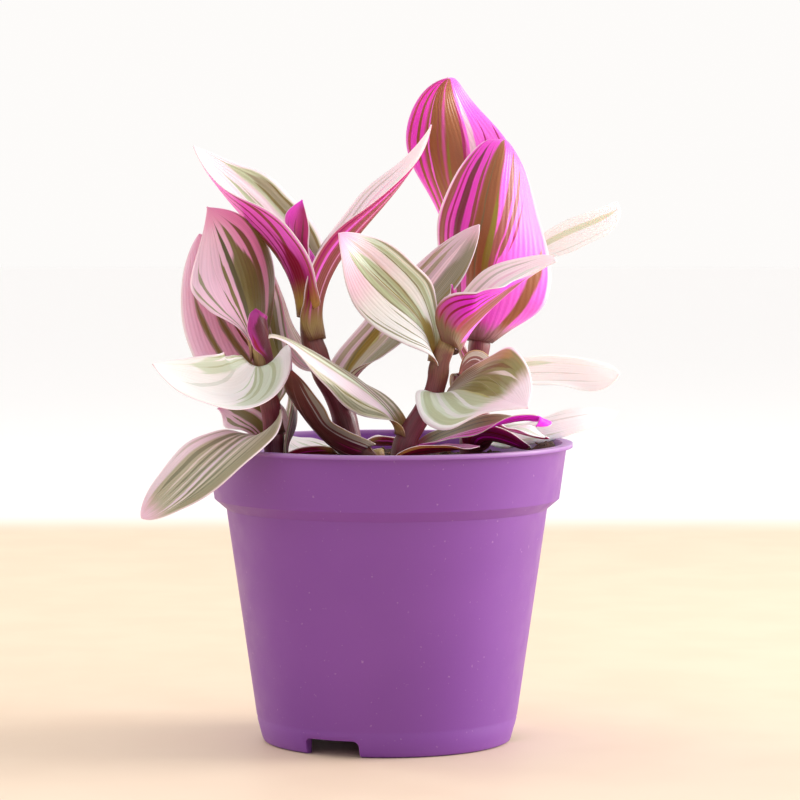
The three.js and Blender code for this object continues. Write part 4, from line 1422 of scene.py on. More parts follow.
LEAVES = (
    LeafBlade(
        "left_leaf_tall", "left", "leaf_pink", Uppers.TALL, Unders.WINE,
        at=0.9, side=155, launch=1, knee=(-35, -5, 133), tip=(-50, -13, 151), width=33, roll=-30,
        twist=-30, fold_left=-0.3, fold_right=-0.45, curl=0.25, widest=0.45, taper=1.1,
        lobe_left=2.5, lobe_right=4, wrap=1,
    ),
    LeafBlade(
        "left_leaf_outer", "left", "leaf_pink", Uppers.OUTER, Unders.WINE,
        at=0.6, side=115, launch=2.5, knee=(-42, -2, 103), tip=(-52.5, -7, 143.5), width=27.5,
        roll=5, twist=-20, fold_left=0, fold_right=-0.1, curl=0.25, taper=0.8, wrap=0.8,
    ),
    LeafBlade(
        "left_leaf_behind", "left", "leaf_olive", Uppers.GREEN, Unders.WINE,
        at=0.5, side=95, launch=1.5, knee=(-35, 10, 100), tip=(-38, 3.5, 144), width=17.5, roll=-20,
        twist=35, fold_left=0.1, curl=0.15, taper=1.05, lobe_left=0.5, wrap=0.8,
    ),
    LeafBlade(
        "left_leaf_white", "left", "leaf_pale", Uppers.WHITE, Unders.WINE,
        at=0.83, side=-111, launch=6, knee=(-32.5, -36.5, 88), tip=(-63, -45.5, 109), width=23.5,
        roll=-24, twist=-4, fold_left=0.8, fold_right=0.55, curl=-0.15, widest=0.38, taper=0.9,
        lobe_left=11, lobe_right=2, wrap=1.05,
    ),
    LeafBlade(
        "left_leaf_drooping", "left", "leaf_olive", Uppers.DROOPING, Unders.PURPLE,
        at=0.34, side=-75, launch=1, knee=(-36, -50, 93), tip=(-66, -48, 67.5), width=19, roll=-35,
        twist=-25, fold_left=-0.4, fold_right=1, curl=0.15, taper=0.6, lobe_left=1.5,
        lobe_right=0.5, wrap=1.2,
    ),
    LeafBlade(
        "left_leaf_small", "left", "leaf_pink", Uppers.PINK, Unders.WINE,
        at=0.26, side=125, launch=5.5, knee=(-40, -9, 94), tip=(-47.5, -8, 94.5), width=18.5,
        roll=-20, twist=-5, fold_left=0.3, curl=0.15, wrap=0.8,
    ),
    LeafBlade(
        "left_leaf_low", "left", "leaf_olive", Uppers.GREEN, Unders.PURPLE,
        at=0.16, side=20, launch=7, knee=(-22, -12, 86), tip=(-27.5, -5.5, 104), width=14.5,
        roll=-10, twist=-5, fold_left=0.5, fold_right=0.7, curl=0.05, taper=1.1, lobe_left=0.5,
        lobe_right=5, wrap=0.7,
    ),
    LeafBlade(
        "left_bud", "left", "leaf_magenta", Unders.BUD, Unders.BUD,
        at=0.86, side=-20, launch=8, knee=(-35, -31, 122), tip=(-36, -24.5, 123), width=10,
        roll=-15, twist=-20, fold_left=0.7, fold_right=0.8, widest=0.5, lobe_left=0.5, lobe_right=0,
        wrap=0.9, opening=0.3,
    ),
    LeafBlade(
        "centre_leaf_left", "centre", "leaf_magenta", Uppers.VEILED, Unders.CRIMSON,
        at=0.9, side=-170, launch=21.5, knee=(-43, -5, 145), tip=(-54, -7.5, 168), width=36,
        twist=-25, fold_left=0.35, fold_right=1.5, curl=-0.05, taper=0.9, lobe_left=5, lobe_right=0,
        wrap=1.3, opening=0.18,
    ),
    LeafBlade(
        "centre_leaf_right", "centre", "leaf_magenta", Uppers.PALE, Unders.WINE,
        at=0.76, side=-25, launch=25, knee=(7, -3, 151), tip=(12.5, -3, 174), width=24.5, roll=10,
        twist=30, fold_left=1.35, fold_right=0.15, curl=0, widest=0.35, taper=1.05, lobe_left=0,
        lobe_right=0, wrap=1.4, opening=0.14,
    ),
    LeafBlade(
        "centre_leaf_young", "centre", "leaf_magenta", Unders.BRIGHT, Unders.BRIGHT,
        at=0.98, side=-55, launch=19, knee=(-29, -10, 138), tip=(-23.5, -11.5, 153), width=15,
        roll=30, twist=45, fold_left=0.6, fold_right=-0.6, curl=0.35, widest=0.5, lobe_left=0,
        lobe_right=0, wrap=0.8, opening=0.3,
    ),
    LeafBlade(
        "centre_leaf_pale", "centre", "leaf_pale", Uppers.PALE, Unders.WINE,
        at=0.6, side=95, launch=3.5, knee=(-25, 6, 101), tip=(-33, 6.5, 133.5), width=8, roll=-25,
        twist=5, fold_left=0.1, fold_right=1, curl=0, lobe_left=0.5, lobe_right=1.5, wrap=0.7,
    ),
    LeafBlade(
        "centre_leaf_grey", "centre", "leaf_olive", Uppers.GREY, Unders.PURPLE,
        at=0.34, side=20, launch=14, knee=(-2, 2, 103), tip=(26, -2.5, 146), width=24, roll=10,
        twist=30, fold_left=0.8, fold_right=0.15, widest=0.35, taper=0.75, lobe_left=3.5,
        lobe_right=0, wrap=1.2,
    ),
    LeafBlade(
        "centre_leaf_soil_left", "centre", "leaf_pale", Uppers.PALE, Unders.WINE,
        at=0.12, side=145, launch=1, knee=(-26, 11, 77), tip=(-29.5, 27.5, 84.5), width=17,
        roll=-20, twist=-15, fold_left=0.35, fold_right=0.2, curl=0.15, taper=0.95, wrap=0.7,
    ),
    LeafBlade(
        "centre_leaf_soil_back", "centre", "leaf_pale", Uppers.PALE, Unders.WINE,
        at=0.14, side=45, launch=1, knee=(11, 17, 81), tip=(2.5, 23, 84.5), width=15.5, roll=25,
        twist=10, fold_left=0.2, fold_right=0.3, curl=0.15, wrap=0.7,
    ),
    LeafBlade(
        "right_leaf_left", "right", "leaf_pale", Uppers.LEFT_WING, Unders.WINE,
        at=0.8, side=170, launch=10, knee=(5, -18, 122), tip=(-13, -33.5, 144), width=21, roll=-70,
        twist=40, fold_left=-0.2, fold_right=0.65, curl=0.05, widest=0.5, taper=0.85, lobe_left=7.5,
        lobe_right=0, wrap=1.4,
    ),
    LeafBlade(
        "right_leaf_boat", "right", "leaf_magenta", Uppers.PALE, Unders.BOAT,
        at=0.93, side=-30, launch=1.5, knee=(33, -3, 129), tip=(47, -17, 136), width=33, roll=20,
        twist=5, fold_left=1.5, fold_right=-0.2, curl=0.3, widest=0.35, taper=0.85, lobe_right=0,
        wrap=1.6,
    ),
    LeafBlade(
        "right_bud", "right", "leaf_magenta", Uppers.PINK, Unders.BRIGHT,
        at=0.98, side=60, launch=1, knee=(21, -10, 119), tip=(18, -14.5, 129.5), width=6, roll=-85,
        twist=-5, fold_left=1, fold_right=1.05, curl=0.3, widest=0.45, lobe_left=0, lobe_right=0,
        wrap=0.9, opening=0.5,
    ),
    LeafBlade(
        "right_leaf_heart", "right", "leaf_olive", Uppers.HEART, Unders.BRIGHT,
        at=0.6, side=-29, launch=5.6, knee=(33.5, -45.9, 97.6), tip=(38.3, -48.3, 97.3), width=33,
        roll=17, twist=-26, fold_left=0.71, fold_right=-0.08, curl=0.45, widest=0.4, taper=0.98,
        lobe_left=2.5, lobe_right=3.1, wrap=0.9,
    ),
    LeafBlade(
        "right_leaf_curled", "right", "leaf_magenta", Uppers.CURLED, Unders.CURLED,
        at=0.17, side=0, launch=6, knee=(54, -29, 97), tip=(40.9, -33, 91.2), width=18.5, roll=10,
        twist=-45, fold_left=0.15, fold_right=0.3, curl=0.2, taper=0.95, lobe_left=0.5,
        lobe_right=1.5, wrap=0.9,
    ),
    LeafBlade(
        "right_leaf_low", "right", "leaf_magenta", Uppers.PINK, Unders.EMBER,
        at=0.12, side=-75, launch=1, knee=(1, -35, 83), tip=(25.5, -30.5, 85.5), width=9.5,
        roll=-15, twist=35, fold_left=0.55, fold_right=0.5, curl=0, widest=0.45, lobe_left=0,
        lobe_right=1.5, wrap=0.6,
    ),
    LeafBlade(
        "right_leaf_long", "right", "leaf_pale", Uppers.LONG, Unders.WINE,
        at=0.26, side=-185, launch=7, knee=(-29, -38, 120.5), tip=(-31.5, -47, 116), width=18.5,
        roll=19, twist=20, fold_left=-0.7, fold_right=-0.1, curl=0.45, widest=0.48, taper=1.05,
        lobe_left=0, lobe_right=0, wrap=1.5,
    ),
    LeafBlade(
        "front_leaf", "front", "leaf_magenta", Uppers.GREY, Unders.PURPLE,
        at=0.82, side=-155, launch=1, knee=(-23, -14, 82), tip=(-26, -30, 106.5), width=16,
        roll=-15, twist=30, fold_left=0.2, fold_right=0.7, widest=0.45, taper=0.9, lobe_left=7,
        lobe_right=1.5, wrap=1.3,
    ),
    LeafBlade(
        "back_leaf_tall", "back", "leaf_magenta", Uppers.TALL, Unders.TALL,
        at=0.96, side=-115, launch=15.5, knee=(12, 38, 179), tip=(17.5, 26, 188), width=33.5,
        roll=-10, twist=68, fold_left=0.2, fold_right=0.75, curl=0.05, widest=0.45, taper=0.65,
        lobe_left=1, lobe_right=0.5, wrap=1.6,
    ),
    LeafBlade(
        "back_leaf_broad", "back", "leaf_magenta", Uppers.OUTER, Unders.BROAD,
        at=0.7, side=-114, launch=2.3, knee=(33.6, 1.7, 177.7), tip=(34.7, 25.4, 168.8),
        width=40.9, roll=34, twist=12, fold_left=0.68, fold_right=1, curl=0.05, widest=0.33,
        taper=0.95, lobe_left=0, lobe_right=7.9, wrap=1.85, opening=0.2,
    ),
    LeafBlade(
        "back_leaf_small", "back", "leaf_magenta", Unders.PURPLE, Unders.PURPLE,
        at=0.36, side=-100, launch=7, knee=(28, 13, 109), tip=(20.5, 9, 103.5), width=14.5, roll=20,
        fold_left=0.5, curl=0.05, widest=0.45, taper=0.95, wrap=1,
    ),
    LeafBlade(
        "back_leaf_arched", "back", "leaf_magenta", Uppers.HAZY, Unders.SHADED,
        at=0.16, side=-60, launch=6, knee=(35, 0, 83), tip=(41, 5.5, 82), width=18, roll=-15,
        twist=-5, fold_left=0.5, lobe_left=3, wrap=0.8,
    ),
    LeafBlade(
        "back_leaf_low", "back", "leaf_pale", Uppers.MISTY, Unders.WINE,
        at=0.24, side=-55, launch=5.5, knee=(47, 4, 83), tip=(45, 1, 86), width=15.5, roll=40,
        twist=-10, fold_left=0.25, fold_right=0.45, wrap=0.8,
    ),
    LeafBlade(
        "rear_leaf_upper", "rear", "leaf_pale", Uppers.MISTY, Uppers.MISTY,
        at=0.93, side=25, launch=7, knee=(74, 41, 147), tip=(66.5, 24, 150), width=13, roll=30,
        fold_left=0.6, fold_right=0.6, curl=-0.1, widest=0.5, taper=0.5, wrap=1.2,
    ),
    LeafBlade(
        "rear_leaf_middle", "rear", "leaf_pale", Uppers.HAZY, Uppers.HAZY,
        at=0.42, side=40, launch=7.5, knee=(68, 43, 97), tip=(67, 23, 102.5), width=17.5, twist=35,
        fold_left=0.5, fold_right=0.6, curl=0.05, wrap=1.2,
    ),
    LeafBlade(
        "rear_leaf_lower", "rear", "leaf_olive", Uppers.HAZY, Uppers.HAZY,
        at=0.18, side=-20, launch=1, knee=(54, 7, 94), tip=(67, 29, 91), width=20, roll=5, twist=15,
        fold_left=-0.2, fold_right=-0.15, curl=0.35, taper=1.05, wrap=1,
    ),
    LeafBlade(
        "rear_leaf_behind", "rear", "leaf_pink", Uppers.PINK, Unders.WINE,
        at=0.78, side=100, launch=6, knee=(17, 47, 149), tip=(35.5, 51.5, 151.5), width=22, roll=5,
        fold_right=0.35, wrap=0.8,
    ),
    LeafBlade(
        "rear_leaf_side", "rear", "leaf_pink", Uppers.GREEN, Unders.WINE,
        at=0.5, side=-180, launch=6, knee=(8, 36, 126), tip=(17.5, 46.5, 130.5), width=18, roll=-10,
        wrap=0.8,
    ),
)


# The pot


@dataclass
class NurseryPot:
    """A thin moulded pot with a broad rim band, a flat lip and a notched foot ring.

    Sizes are in millimetres and angles in degrees.
    """

    foot_radius: float = 35.5
    seam_radius: float = 36.9
    seam_height: float = 6.9
    neck_radius: float = 45.4
    neck_height: float = 66.0
    inner_neck_height: float = 67.0
    band_low_radius: float = 48.8
    band_low_height: float = 68.9
    inner_band_height: float = 69.9
    band_top_radius: float = 50.8
    lip_radius: float = 52.5
    lip_thickness: float = 1.1
    height: float = 84.5
    wall: float = 1.2
    floor_height: float = 4.7
    foot_ring_width: float = 3.2
    corner: float = 1.4
    corner_middle: float = 0.3
    edge_round: float = 0.4
    round_above: float = 28
    seam_groove: float = 0.16
    seam_step: float = 0.1
    seam_below: float = 0.5
    seam_above: float = 0.8
    segments: int = 160
    shell_sharp: float = 24
    sharp: float = 30
    notch_count: int = 3
    notch_width: float = 16.3
    notch_depth: float = 5.6
    notch_first_angle: float = -115.3
    notch_corner: float = 1.6
    notch_corner_steps: int = 6

    def profile(self) -> list[tuple[float, float]]:
        """List the wall's section from the foot, up outside, down inside, to the foot ring.

        Returns:
            The radius and height of each corner of the section.
        """
        wall = self.wall
        slope = (self.neck_radius - self.seam_radius) / (self.neck_height - self.seam_height)
        first = self.corner * self.corner_middle
        return [
            (self.foot_radius - self.corner, 0.0),
            (self.foot_radius - first, first),
            (self.foot_radius, self.corner),
            (self.seam_radius - self.seam_step, self.seam_height - self.seam_below),
            (self.seam_radius - self.seam_groove, self.seam_height - self.seam_step),
            (self.seam_radius + slope * self.seam_above, self.seam_height + self.seam_above),
            (self.neck_radius, self.neck_height),
            (self.band_low_radius, self.band_low_height),
            (self.band_top_radius, self.height - self.lip_thickness),
            (self.lip_radius, self.height - self.lip_thickness),
            (self.lip_radius, self.height),
            (self.band_top_radius - wall, self.height),
            (self.band_low_radius - wall, self.inner_band_height),
            (self.neck_radius - wall, self.inner_neck_height),
            (self.seam_radius - wall, self.seam_height),
            (0.0, self.floor_height + wall),
            (0.0, self.floor_height),
            (self.foot_radius - self.foot_ring_width, self.floor_height),
            (self.foot_radius - self.foot_ring_width, 0.0),
        ]

    def shell(self) -> bpy.types.Object:
        """Spin the section into a closed shell. The step on the axis makes no face.

        Returns:
            The pot without its notches.
        """
        tool = bmesh.new()
        section = self.profile()
        points = [tool.verts.new((radius * MM, 0, height * MM)) for radius, height in section]
        edges = []
        for number, (radius, _) in enumerate(section):
            following = (number + 1) % len(section)
            if radius or section[following][0]:
                edges.append(tool.edges.new((points[number], points[following])))
        bmesh.ops.spin(
            tool, geom=points + edges, cent=(0, 0, 0), axis=(0, 0, 1), angle=math.tau,
            steps=self.segments, use_merge=True, use_duplicate=False)
        bmesh.ops.remove_doubles(tool, verts=tool.verts, dist=1e-6)
        bmesh.ops.recalc_face_normals(tool, faces=tool.faces)
        return finish_piece(tool, "pot_shell", self.shell_sharp)

    def notch_cutter(self) -> bpy.types.Object:
        """Make the blocks that cut the drainage notches through the foot ring.

        Returns:
            One object that holds all the blocks.
        """
        tool = bmesh.new()
        size = (2 * self.notch_depth * MM, self.notch_width * MM, 2 * self.floor_height * MM)
        for number in range(self.notch_count):
            earlier = set(tool.verts)
            block = bmesh.ops.create_cube(tool, size=1.0)["verts"]
            bmesh.ops.scale(tool, vec=size, verts=block)
            level = [edge for edge in dict.fromkeys(e for v in block for e in v.link_edges)
                     if abs(edge.verts[0].co.x - edge.verts[1].co.x) > 1e-6]
            bmesh.ops.bevel(
                tool, geom=level, offset=self.notch_corner * MM, segments=self.notch_corner_steps,
                profile=0.5, affect="EDGES", material=-1, clamp_overlap=True)
            block = [vert for vert in tool.verts if vert not in earlier]
            angle = math.radians(self.notch_first_angle + number * 360 / self.notch_count)
            bmesh.ops.translate(tool, vec=(self.foot_radius * MM, 0, 0), verts=block)
            bmesh.ops.rotate(
                tool, cent=(0, 0, 0), matrix=Matrix.Rotation(angle, 3, "Z"), verts=block)
        return finish_piece(tool, "notch_cutter", self.sharp)

    def build(self) -> bpy.types.Object:
        """Cut the notches and round the edges.

        Returns:
            The finished pot.
        """
        piece = self.shell()
        cutter = self.notch_cutter()
        cut = piece.modifiers.new("notches", "BOOLEAN")
        cut.operation = "DIFFERENCE"
        cut.solver = "EXACT"
        cut.object = cutter
        soft = piece.modifiers.new("edges", "BEVEL")
        soft.width = self.edge_round * MM
        soft.segments = 2
        soft.limit_method = "ANGLE"
        soft.angle_limit = math.radians(self.round_above)
        bake_modifiers(piece)
        bpy.data.objects.remove(cutter)
        piece.data.set_sharp_from_angle(angle=math.radians(self.sharp))
        dress_piece(piece, PotPlastic().material())
        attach(piece, "root")
        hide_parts("pot")
        return piece


@dataclass(frozen=True)
class PotPlastic:
    """Thin translucent purple plastic with a satin face, faint flow marks, dusty specks and a painted
    highlight along the top of the lip.

    Scales are waves to the metre, and the lip's heights are in metres.
    """

    name: str = "pot_plastic"
    purple: tuple[int, int, int] = (128, 68, 160)
    deep: tuple[int, int, int] = (122, 63, 154)
    # A pale colour for the dusty specks and for the painted highlight on the lip.
    dust_and_highlight: tuple[int, int, int] = (196, 164, 204)
    cloud_scale: Triple = (14, 14, 20)
    speck_scale: float = 900.0
    speck_range: tuple[float, float] = (0.7, 0.78)
    speck_share: float = 0.3
    lip_low: float = 0.0832
    lip_high: float = 0.0843
    lip_share: float = 0.4
    pebble_scale: float = 2600.0
    sheen_scale: float = 120.0

    def material(self) -> bpy.types.Material:
        """Build the plastic.

        Returns:
            The material.
        """
        bench = SkinBench(self.name)
        cloud = bench.long_grain(bench.place, self.cloud_scale, 2)
        colour = bench.mix(bench.spread(cloud, 0.35, 0.65), srgb(*self.purple), srgb(*self.deep))
        specks = bench.spread(bench.grain(bench.place, self.speck_scale, 2), *self.speck_range)
        colour = bench.mix(bench.maths("MULTIPLY", specks, self.speck_share), colour, srgb(*self.dust_and_highlight))
        # Painted highlight: the top of the lip is lightened toward the pale colour.
        lip_highlight = bench.spread(bench.part(bench.place, 2), self.lip_low, self.lip_high)
        colour = bench.mix(bench.maths("MULTIPLY", lip_highlight, self.lip_share), colour, srgb(*self.dust_and_highlight))
        sheen = bench.grain(bench.place, self.sheen_scale, 3)
        bench.dress(colour, bench.spread(sheen, low=0.2, high=0.8, to_low=0.36, to_high=0.5))
        pebbles = bench.grain(bench.place, self.pebble_scale, 2)
        bench.emboss(pebbles, strength=0.12, distance=0.0001)
        bench.let_light_in(weight=0.2, radius=(0.9, 0.5, 1.0), scale=0.0025)
        return bench.material


# The soil


@dataclass
class PottingSoil:
    """Crumbly dark soil with bark chips and fibres on top. Sizes are in millimetres.

    The pairs named coarse, lumps and fine hold the scale and the height of a layer of crumbs. The
    pairs of chips, clods and fibres are the smallest and the largest of a random draw.
    """

    level: float = 78.6
    radius: float = 47.6
    depth: float = 9.0
    rim_gap: float = 0.5
    wall_taper: float = 0.15
    heap_height: float = 6.5
    heap_place: tuple[float, float] = (46.0, -3.0)
    heap_spread: float = 45.0
    rings: int = 70
    segments: int = 200
    broad_swell: float = 0.5
    broad_waves: tuple[float, float] = (0.31, 0.27)
    broad_shift: float = 1.3
    slant_swell: float = 0.35
    slant_waves: tuple[float, float] = (-0.4, 0.61)
    coarse: tuple[float, float] = (0.35, 0.7)
    lumps: tuple[float, float] = (0.9, 1.1)
    fine: tuple[float, float] = (2.6, 0.35)
    crumb_drop: float = 0.4
    bark_count: int = 420
    bark_margin: float = 2.5
    bark_sizes: tuple[tuple[float, float], ...] = ((0.7, 2.6), (0.5, 1.5), (0.2, 0.6))
    bark_ragged: float = 0.18
    bark_tilts: tuple[float, float] = (0.6, 0.5)
    bark_lift: float = 0.15
    bark_sharp: float = 35
    clod_count: int = 700
    clod_margin: float = 1.2
    clod_radius: tuple[float, float] = (0.25, 0.95)
    clod_ragged: tuple[float, float] = (0.75, 1.25)
    clod_sink: float = -0.1
    fibre_count: int = 70
    fibre_margin: float = 6.0
    fibre_radius: tuple[float, float] = (0.08, 0.2)
    fibre_step: tuple[float, float] = (0.5, 1.1)
    fibre_steps: int = 8
    fibre_sides: int = 5
    fibre_wander: float = 0.5
    fibre_lift: float = 0.25
    fibre_start_lift: float = 0.3
    seed: int = 11

    def height(self, x: float, y: float) -> float:
        """Give the soil's level at a place, without its crumbs.

        Args:
            x: The place to the right of the axis.
            y: The place behind the axis.

        Returns:
            The level above the foot ring's plane.
        """
        gap = (x - self.heap_place[0]) ** 2 + (y - self.heap_place[1]) ** 2
        heap = self.heap_height * math.exp(-gap / self.heap_spread)
        across, back = self.broad_waves
        broad = self.broad_swell * math.sin(across * x + self.broad_shift) * math.cos(back * y)
        across, back = self.slant_waves
        slant = self.slant_swell * math.sin(back * y + across * x)
        return self.level + (broad + slant) + heap

    def crumbs(self, x: float, y: float) -> float:
        """Give the crumbs' height over the plain level.

        Args:
            x: The place to the right of the axis.
            y: The place behind the axis.

        Returns:
            The height of coarse swells, rounded clods and fine grains together.
        """
        place = Vector((x, y, 0))
        coarse, lumps, fine = (
            noise.noise(place * scale) * height
            for scale, height in (self.coarse, self.lumps, self.fine))
        return coarse + abs(lumps) + fine - self.crumb_drop

    def top(self, x: float, y: float, lowest: float = 0.0) -> float:
        """Give the height of the crumbly top.

        Args:
            x: The place to the right of the axis.
            y: The place behind the axis.
            lowest: The least that the crumbs count for.

        Returns:
            The height above the foot ring's plane.
        """
        return self.height(x, y) + max(self.crumbs(x, y), lowest)

    def bed(self) -> bpy.types.Object:
        """Make the soil's body: a plug with a crumbly top.

        Returns:
            The finished piece.
        """
        tool = bmesh.new()
        bmesh.ops.create_circle(
            tool, cap_ends=True, cap_tris=True, segments=self.segments, radius=self.radius * MM)
        spokes = [edge for edge in tool.edges if not edge.is_boundary]
        bmesh.ops.subdivide_edges(tool, edges=spokes, cuts=self.rings, use_grid_fill=True)
        surface = list(tool.verts)
        rim = [edge for edge in tool.edges if edge.is_boundary]
        skirt = bmesh.ops.extrude_edge_only(tool, edges=rim)["geom"]
        for vert in surface:
            x, y = vert.co.x / MM, vert.co.y / MM
            vert.co.z = (self.height(x, y) + self.crumbs(x, y)) * MM
        shrink = (self.radius - self.rim_gap - self.depth * self.wall_taper) / self.radius
        low = (self.level - self.depth) * MM
        for vert in skirt:
            if isinstance(vert, bmesh.types.BMVert):
                vert.co = Vector((vert.co.x * shrink, vert.co.y * shrink, low))
        bmesh.ops.holes_fill(tool, edges=[edge for edge in tool.edges if edge.is_boundary], sides=0)
        bmesh.ops.recalc_face_normals(tool, faces=tool.faces)
        return finish_piece(tool, "soil_bed")

    def spot(self, rng: random.Random, margin: float) -> tuple[float, float]:
        """Pick a place on the soil.

        Args:
            rng: The source of chance.
            margin: The least distance from the soil's rim.

        Returns:
            The place's x and y.
        """
        radius = (self.radius - margin) * math.sqrt(rng.random())
        angle = rng.random() * math.tau
        return radius * math.cos(angle), radius * math.sin(angle)

    def chips(self) -> bpy.types.Object:
        """Scatter flat chips of bark on the soil.

        Returns:
            One piece that holds all the chips.
        """
        rng = random.Random(self.seed)
        tool = bmesh.new()
        ragged = self.bark_ragged
        for _ in range(self.bark_count):
            x, y = self.spot(rng, self.bark_margin)
            size = [rng.uniform(*sizes) * MM for sizes in self.bark_sizes]
            block = bmesh.ops.create_cube(tool, size=1.0)["verts"]
            for vert in block:
                vert.co += Vector([rng.uniform(-ragged, ragged) for _ in range(3)])
            bmesh.ops.scale(tool, vec=size, verts=block)
            tilt = Matrix.Identity(3)
            for axis, most in zip("XY", self.bark_tilts):
                tilt = tilt @ Matrix.Rotation(rng.uniform(-most, most), 3, axis)
            turn = Matrix.Rotation(rng.random() * math.tau, 3, "Z") @ tilt
            bmesh.ops.rotate(tool, cent=(0, 0, 0), matrix=turn, verts=block)
            place = Vector((x, y, self.top(x, y) + self.bark_lift)) * MM
            bmesh.ops.translate(tool, vec=place, verts=block)
        bmesh.ops.recalc_face_normals(tool, faces=tool.faces)
        return finish_piece(tool, "soil_bark", self.bark_sharp)

    def clods(self) -> bpy.types.Object:
        """Scatter small round crumbs of soil.

        Returns:
            One piece that holds all the crumbs.
        """
        rng = random.Random(self.seed + 1)
        tool = bmesh.new()
        for _ in range(self.clod_count):
            x, y = self.spot(rng, self.clod_margin)
            radius = rng.uniform(*self.clod_radius) * MM
            ball = bmesh.ops.create_icosphere(tool, subdivisions=1, radius=radius)["verts"]
            for vert in ball:
                vert.co *= rng.uniform(*self.clod_ragged)
            place = Vector((x, y, self.top(x, y, self.clod_sink))) * MM
            bmesh.ops.translate(tool, vec=place, verts=ball)
        return finish_piece(tool, "soil_crumbs")

    def fibres(self) -> bpy.types.Object:
        """Lay fine fibres and root ends across the soil.

        Returns:
            One piece that holds all the fibres.
        """
        rng = random.Random(self.seed + 2)
        tool = bmesh.new()
        for _ in range(self.fibre_count):
            x, y = self.spot(rng, self.fibre_margin)
            heading = rng.random() * math.tau
            radius = rng.uniform(*self.fibre_radius) * MM
            step = rng.uniform(*self.fibre_step)
            stand = Matrix.Rotation(heading, 4, "Z") @ Matrix.Rotation(math.pi / 2, 4, "Y")
            ring = bmesh.ops.create_circle(
                tool, cap_ends=True, segments=self.fibre_sides, radius=radius, matrix=stand)["verts"]
            z = self.top(x, y) + self.fibre_start_lift
            bmesh.ops.translate(tool, vec=Vector((x, y, z)) * MM, verts=ring)
            for _ in range(self.fibre_steps):
                ring = grow_ring(tool, ring)
                heading += rng.uniform(-self.fibre_wander, self.fibre_wander)
                across, back = math.cos(heading) * step, math.sin(heading) * step
                x += across
                y += back
                lift = self.top(x, y) + self.fibre_lift - z
                z += lift
                bmesh.ops.translate(tool, vec=Vector((across, back, lift)) * MM, verts=ring)
            tool.faces.new(ring)
        bmesh.ops.recalc_face_normals(tool, faces=tool.faces)
        return finish_piece(tool, "soil_fibres")

    def build(self) -> list[bpy.types.Object]:
        """Make the bed and what lies on it.

        Returns:
            The pieces.
        """
        bed, bark, crumbs, fibres = self.bed(), self.chips(), self.clods(), self.fibres()
        dress_piece(bed, SoilFinish("soil_peat").material())
        dress_piece(crumbs, SoilFinish("soil_crumb").material())
        dress_piece(bark, SoilFinish("soil_bark_brown", (64, 42, 30), (112, 74, 48)).material())
        dress_piece(fibres, SoilFinish("soil_fibre_tan", (110, 78, 52), (156, 118, 84)).material())
        for piece in (bed, bark, crumbs, fibres):
            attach(piece, "root")
        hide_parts("soil")
        return [bed, bark, crumbs, fibres]


@dataclass(frozen=True)
class SoilFinish:
    """Dry peat, bark or fibre: dark brown with lighter grains and no shine."""

    name: str
    dark: tuple[int, int, int] = (36, 24, 20)
    light: tuple[int, int, int] = (84, 58, 44)
    coarse_scale: float = 260.0
    fine_scale: float = 1400.0

    def material(self) -> bpy.types.Material:
        """Build the finish.

        Returns:
            The material.
        """
        bench = SkinBench(self.name)
        coarse = bench.grain(bench.place, self.coarse_scale, 5)
        fine = bench.grain(bench.place, self.fine_scale, 3)
        both = bench.maths("MULTIPLY", bench.maths("ADD", coarse, fine), 0.5)
        colour = bench.mix(bench.spread(both, 0.38, 0.66), srgb(*self.dark), srgb(*self.light))
        bench.dress(colour, bench.spread(coarse, low=0.3, high=0.7, to_low=0.75, to_high=0.95))
        bench.emboss(fine, strength=0.7, distance=0.0005)
        return bench.material


# The studio


@dataclass(frozen=True)
class Lamp:
    """A soft square lamp that faces the plant. Sizes are in metres and watts."""

    name: str
    place: Triple
    size: float
    watts: float
    colour: Triple

    AIM = (0, 0, 0.1)

    def build(self) -> None:
        """Hang the lamp."""
        data = bpy.data.lights.new(self.name, "AREA")
        data.size = self.size
        data.energy = self.watts
        data.color = self.colour
        piece = bpy.data.objects.new(self.name, data)
        piece.location = self.place
        aim = Vector(self.AIM) - Vector(self.place)
        piece.rotation_euler = aim.to_track_quat("-Z", "Y").to_euler()
        bpy.context.scene.collection.objects.link(piece)


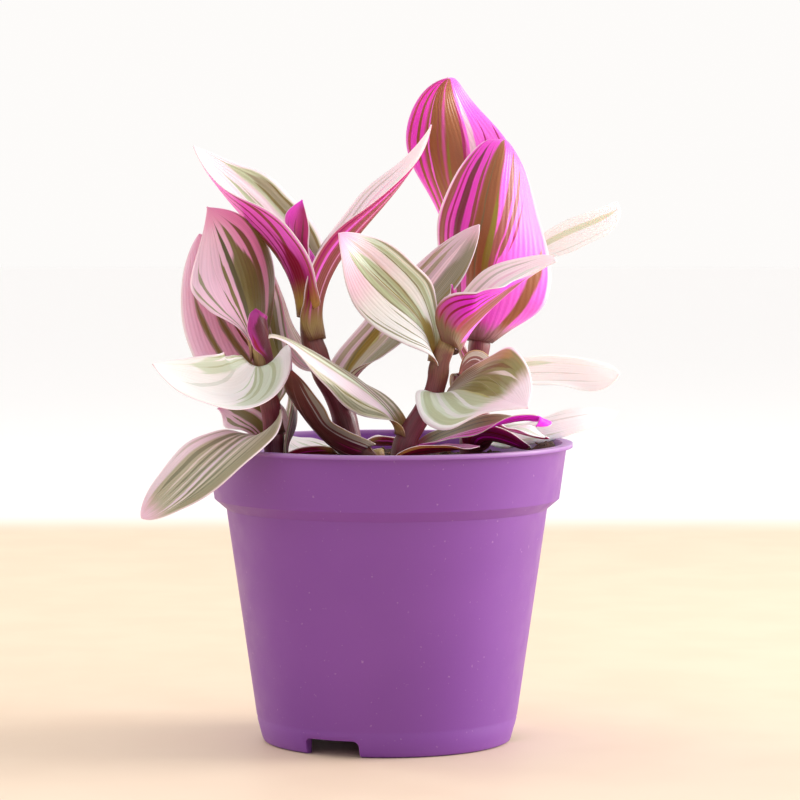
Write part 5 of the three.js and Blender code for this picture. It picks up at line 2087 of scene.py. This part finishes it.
@dataclass(frozen=True)
class Studio:
    """The floor, the lights and the camera. Sizes are in metres.

    A pair of depths is where a colour of the floor begins to change and where it has changed.
    """

    floor_half: float = 6.0
    near: tuple[int, int, int] = (232, 212, 192)
    near_depths: tuple[float, float] = (0.05, -0.25)
    cream: tuple[int, int, int] = (228, 205, 180)
    light_cream: tuple[int, int, int] = (231, 210, 186)
    backdrop: tuple[int, int, int] = (254, 253, 253)
    backdrop_depths: tuple[float, float] = (0.59, 0.72)
    surround: Colour = (1.0, 0.982, 0.965, 1.0)
    surround_strength: float = 0.985
    camera_place: Triple = (0.0037, -0.985, 0.156)
    camera_drop: float = 3.46
    focal_pixels: float = 3490.0
    picture_pixels: float = 800.0
    sensor: float = 36.0
    lamps: tuple[Lamp, ...] = (
        Lamp("key", (0.95, 0.1, 0.35), 0.6, 12.5, (1.0, 0.97, 0.93)),
        Lamp("rim", (-0.8, 0.45, 0.4), 0.5, 3.0, (1.0, 0.9, 0.76)),
    )

    def camera(self) -> None:
        """Place the camera where the photograph was taken from."""
        data = bpy.data.cameras.new("camera")
        data.sensor_width = self.sensor
        data.lens = self.focal_pixels / self.picture_pixels * self.sensor
        data.clip_start = 0.02
        data.clip_end = 50
        piece = bpy.data.objects.new("camera", data)
        piece.location = self.camera_place
        piece.rotation_euler = (math.radians(90 - self.camera_drop), 0, 0)
        bpy.context.scene.collection.objects.link(piece)
        bpy.context.scene.camera = piece

    def floor(self) -> None:
        """Lay a pale floor that fades into the backdrop's white."""
        tool = bmesh.new()
        bmesh.ops.create_grid(tool, x_segments=1, y_segments=1, size=self.floor_half)
        piece = finish_piece(tool, "floor")
        bench = SkinBench("floor_cream")
        depth = bench.part(bench.place, 1)
        soft = bench.grain(bench.place, 30.0, 3)
        colour = bench.mix(bench.spread(soft, 0.3, 0.7), srgb(*self.cream), srgb(*self.light_cream))
        colour = bench.mix(bench.spread(depth, *self.near_depths), colour, srgb(*self.near))
        colour = bench.mix(bench.spread(depth, *self.backdrop_depths), colour, srgb(*self.backdrop))
        rough = bench.spread(soft, low=0.2, high=0.8, to_low=0.5, to_high=0.6)
        bench.dress(colour, rough, specular=0.2)
        dress_piece(piece, bench.material)

    def world(self) -> None:
        """Light the scene from all round with a soft white."""
        world = bpy.data.worlds.new("studio")
        world.use_nodes = True
        back = world.node_tree.nodes["Background"]
        back.inputs["Color"].default_value = self.surround
        back.inputs["Strength"].default_value = self.surround_strength
        bpy.context.scene.world = world

    def build(self) -> None:
        """Set up everything that isn't the plant."""
        self.camera()
        self.floor()
        self.world()
        for lamp in self.lamps:
            lamp.build()
        settings = bpy.context.scene.view_settings
        settings.view_transform = "Standard"
        settings.look = "None"


def report(piece: bpy.types.Object) -> None:
    """Log a finished piece.

    Args:
        piece: The piece.
    """
    LOG.info("%s with %d faces", piece.name, len(piece.data.polygons))


def main() -> None:
    """Build the studio and the potted plant, piece by piece."""
    logging.basicConfig(level=logging.INFO, format="%(name)s: %(message)s")
    Studio().build()
    LOG.info("studio ready")
    report(NurseryPot().build())
    for piece in PottingSoil().build():
        report(piece)
    for stem in STEMS.values():
        piece = stem.build()
        dress_piece(piece, StemSkin().material())
        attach(piece, "root")
        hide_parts(stem.name)
        report(piece)
    for leaf in LEAVES:
        piece = leaf.build()
        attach(piece, "root")
        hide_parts(leaf.name)
        report(piece)


if __name__ == "__main__":
    main()
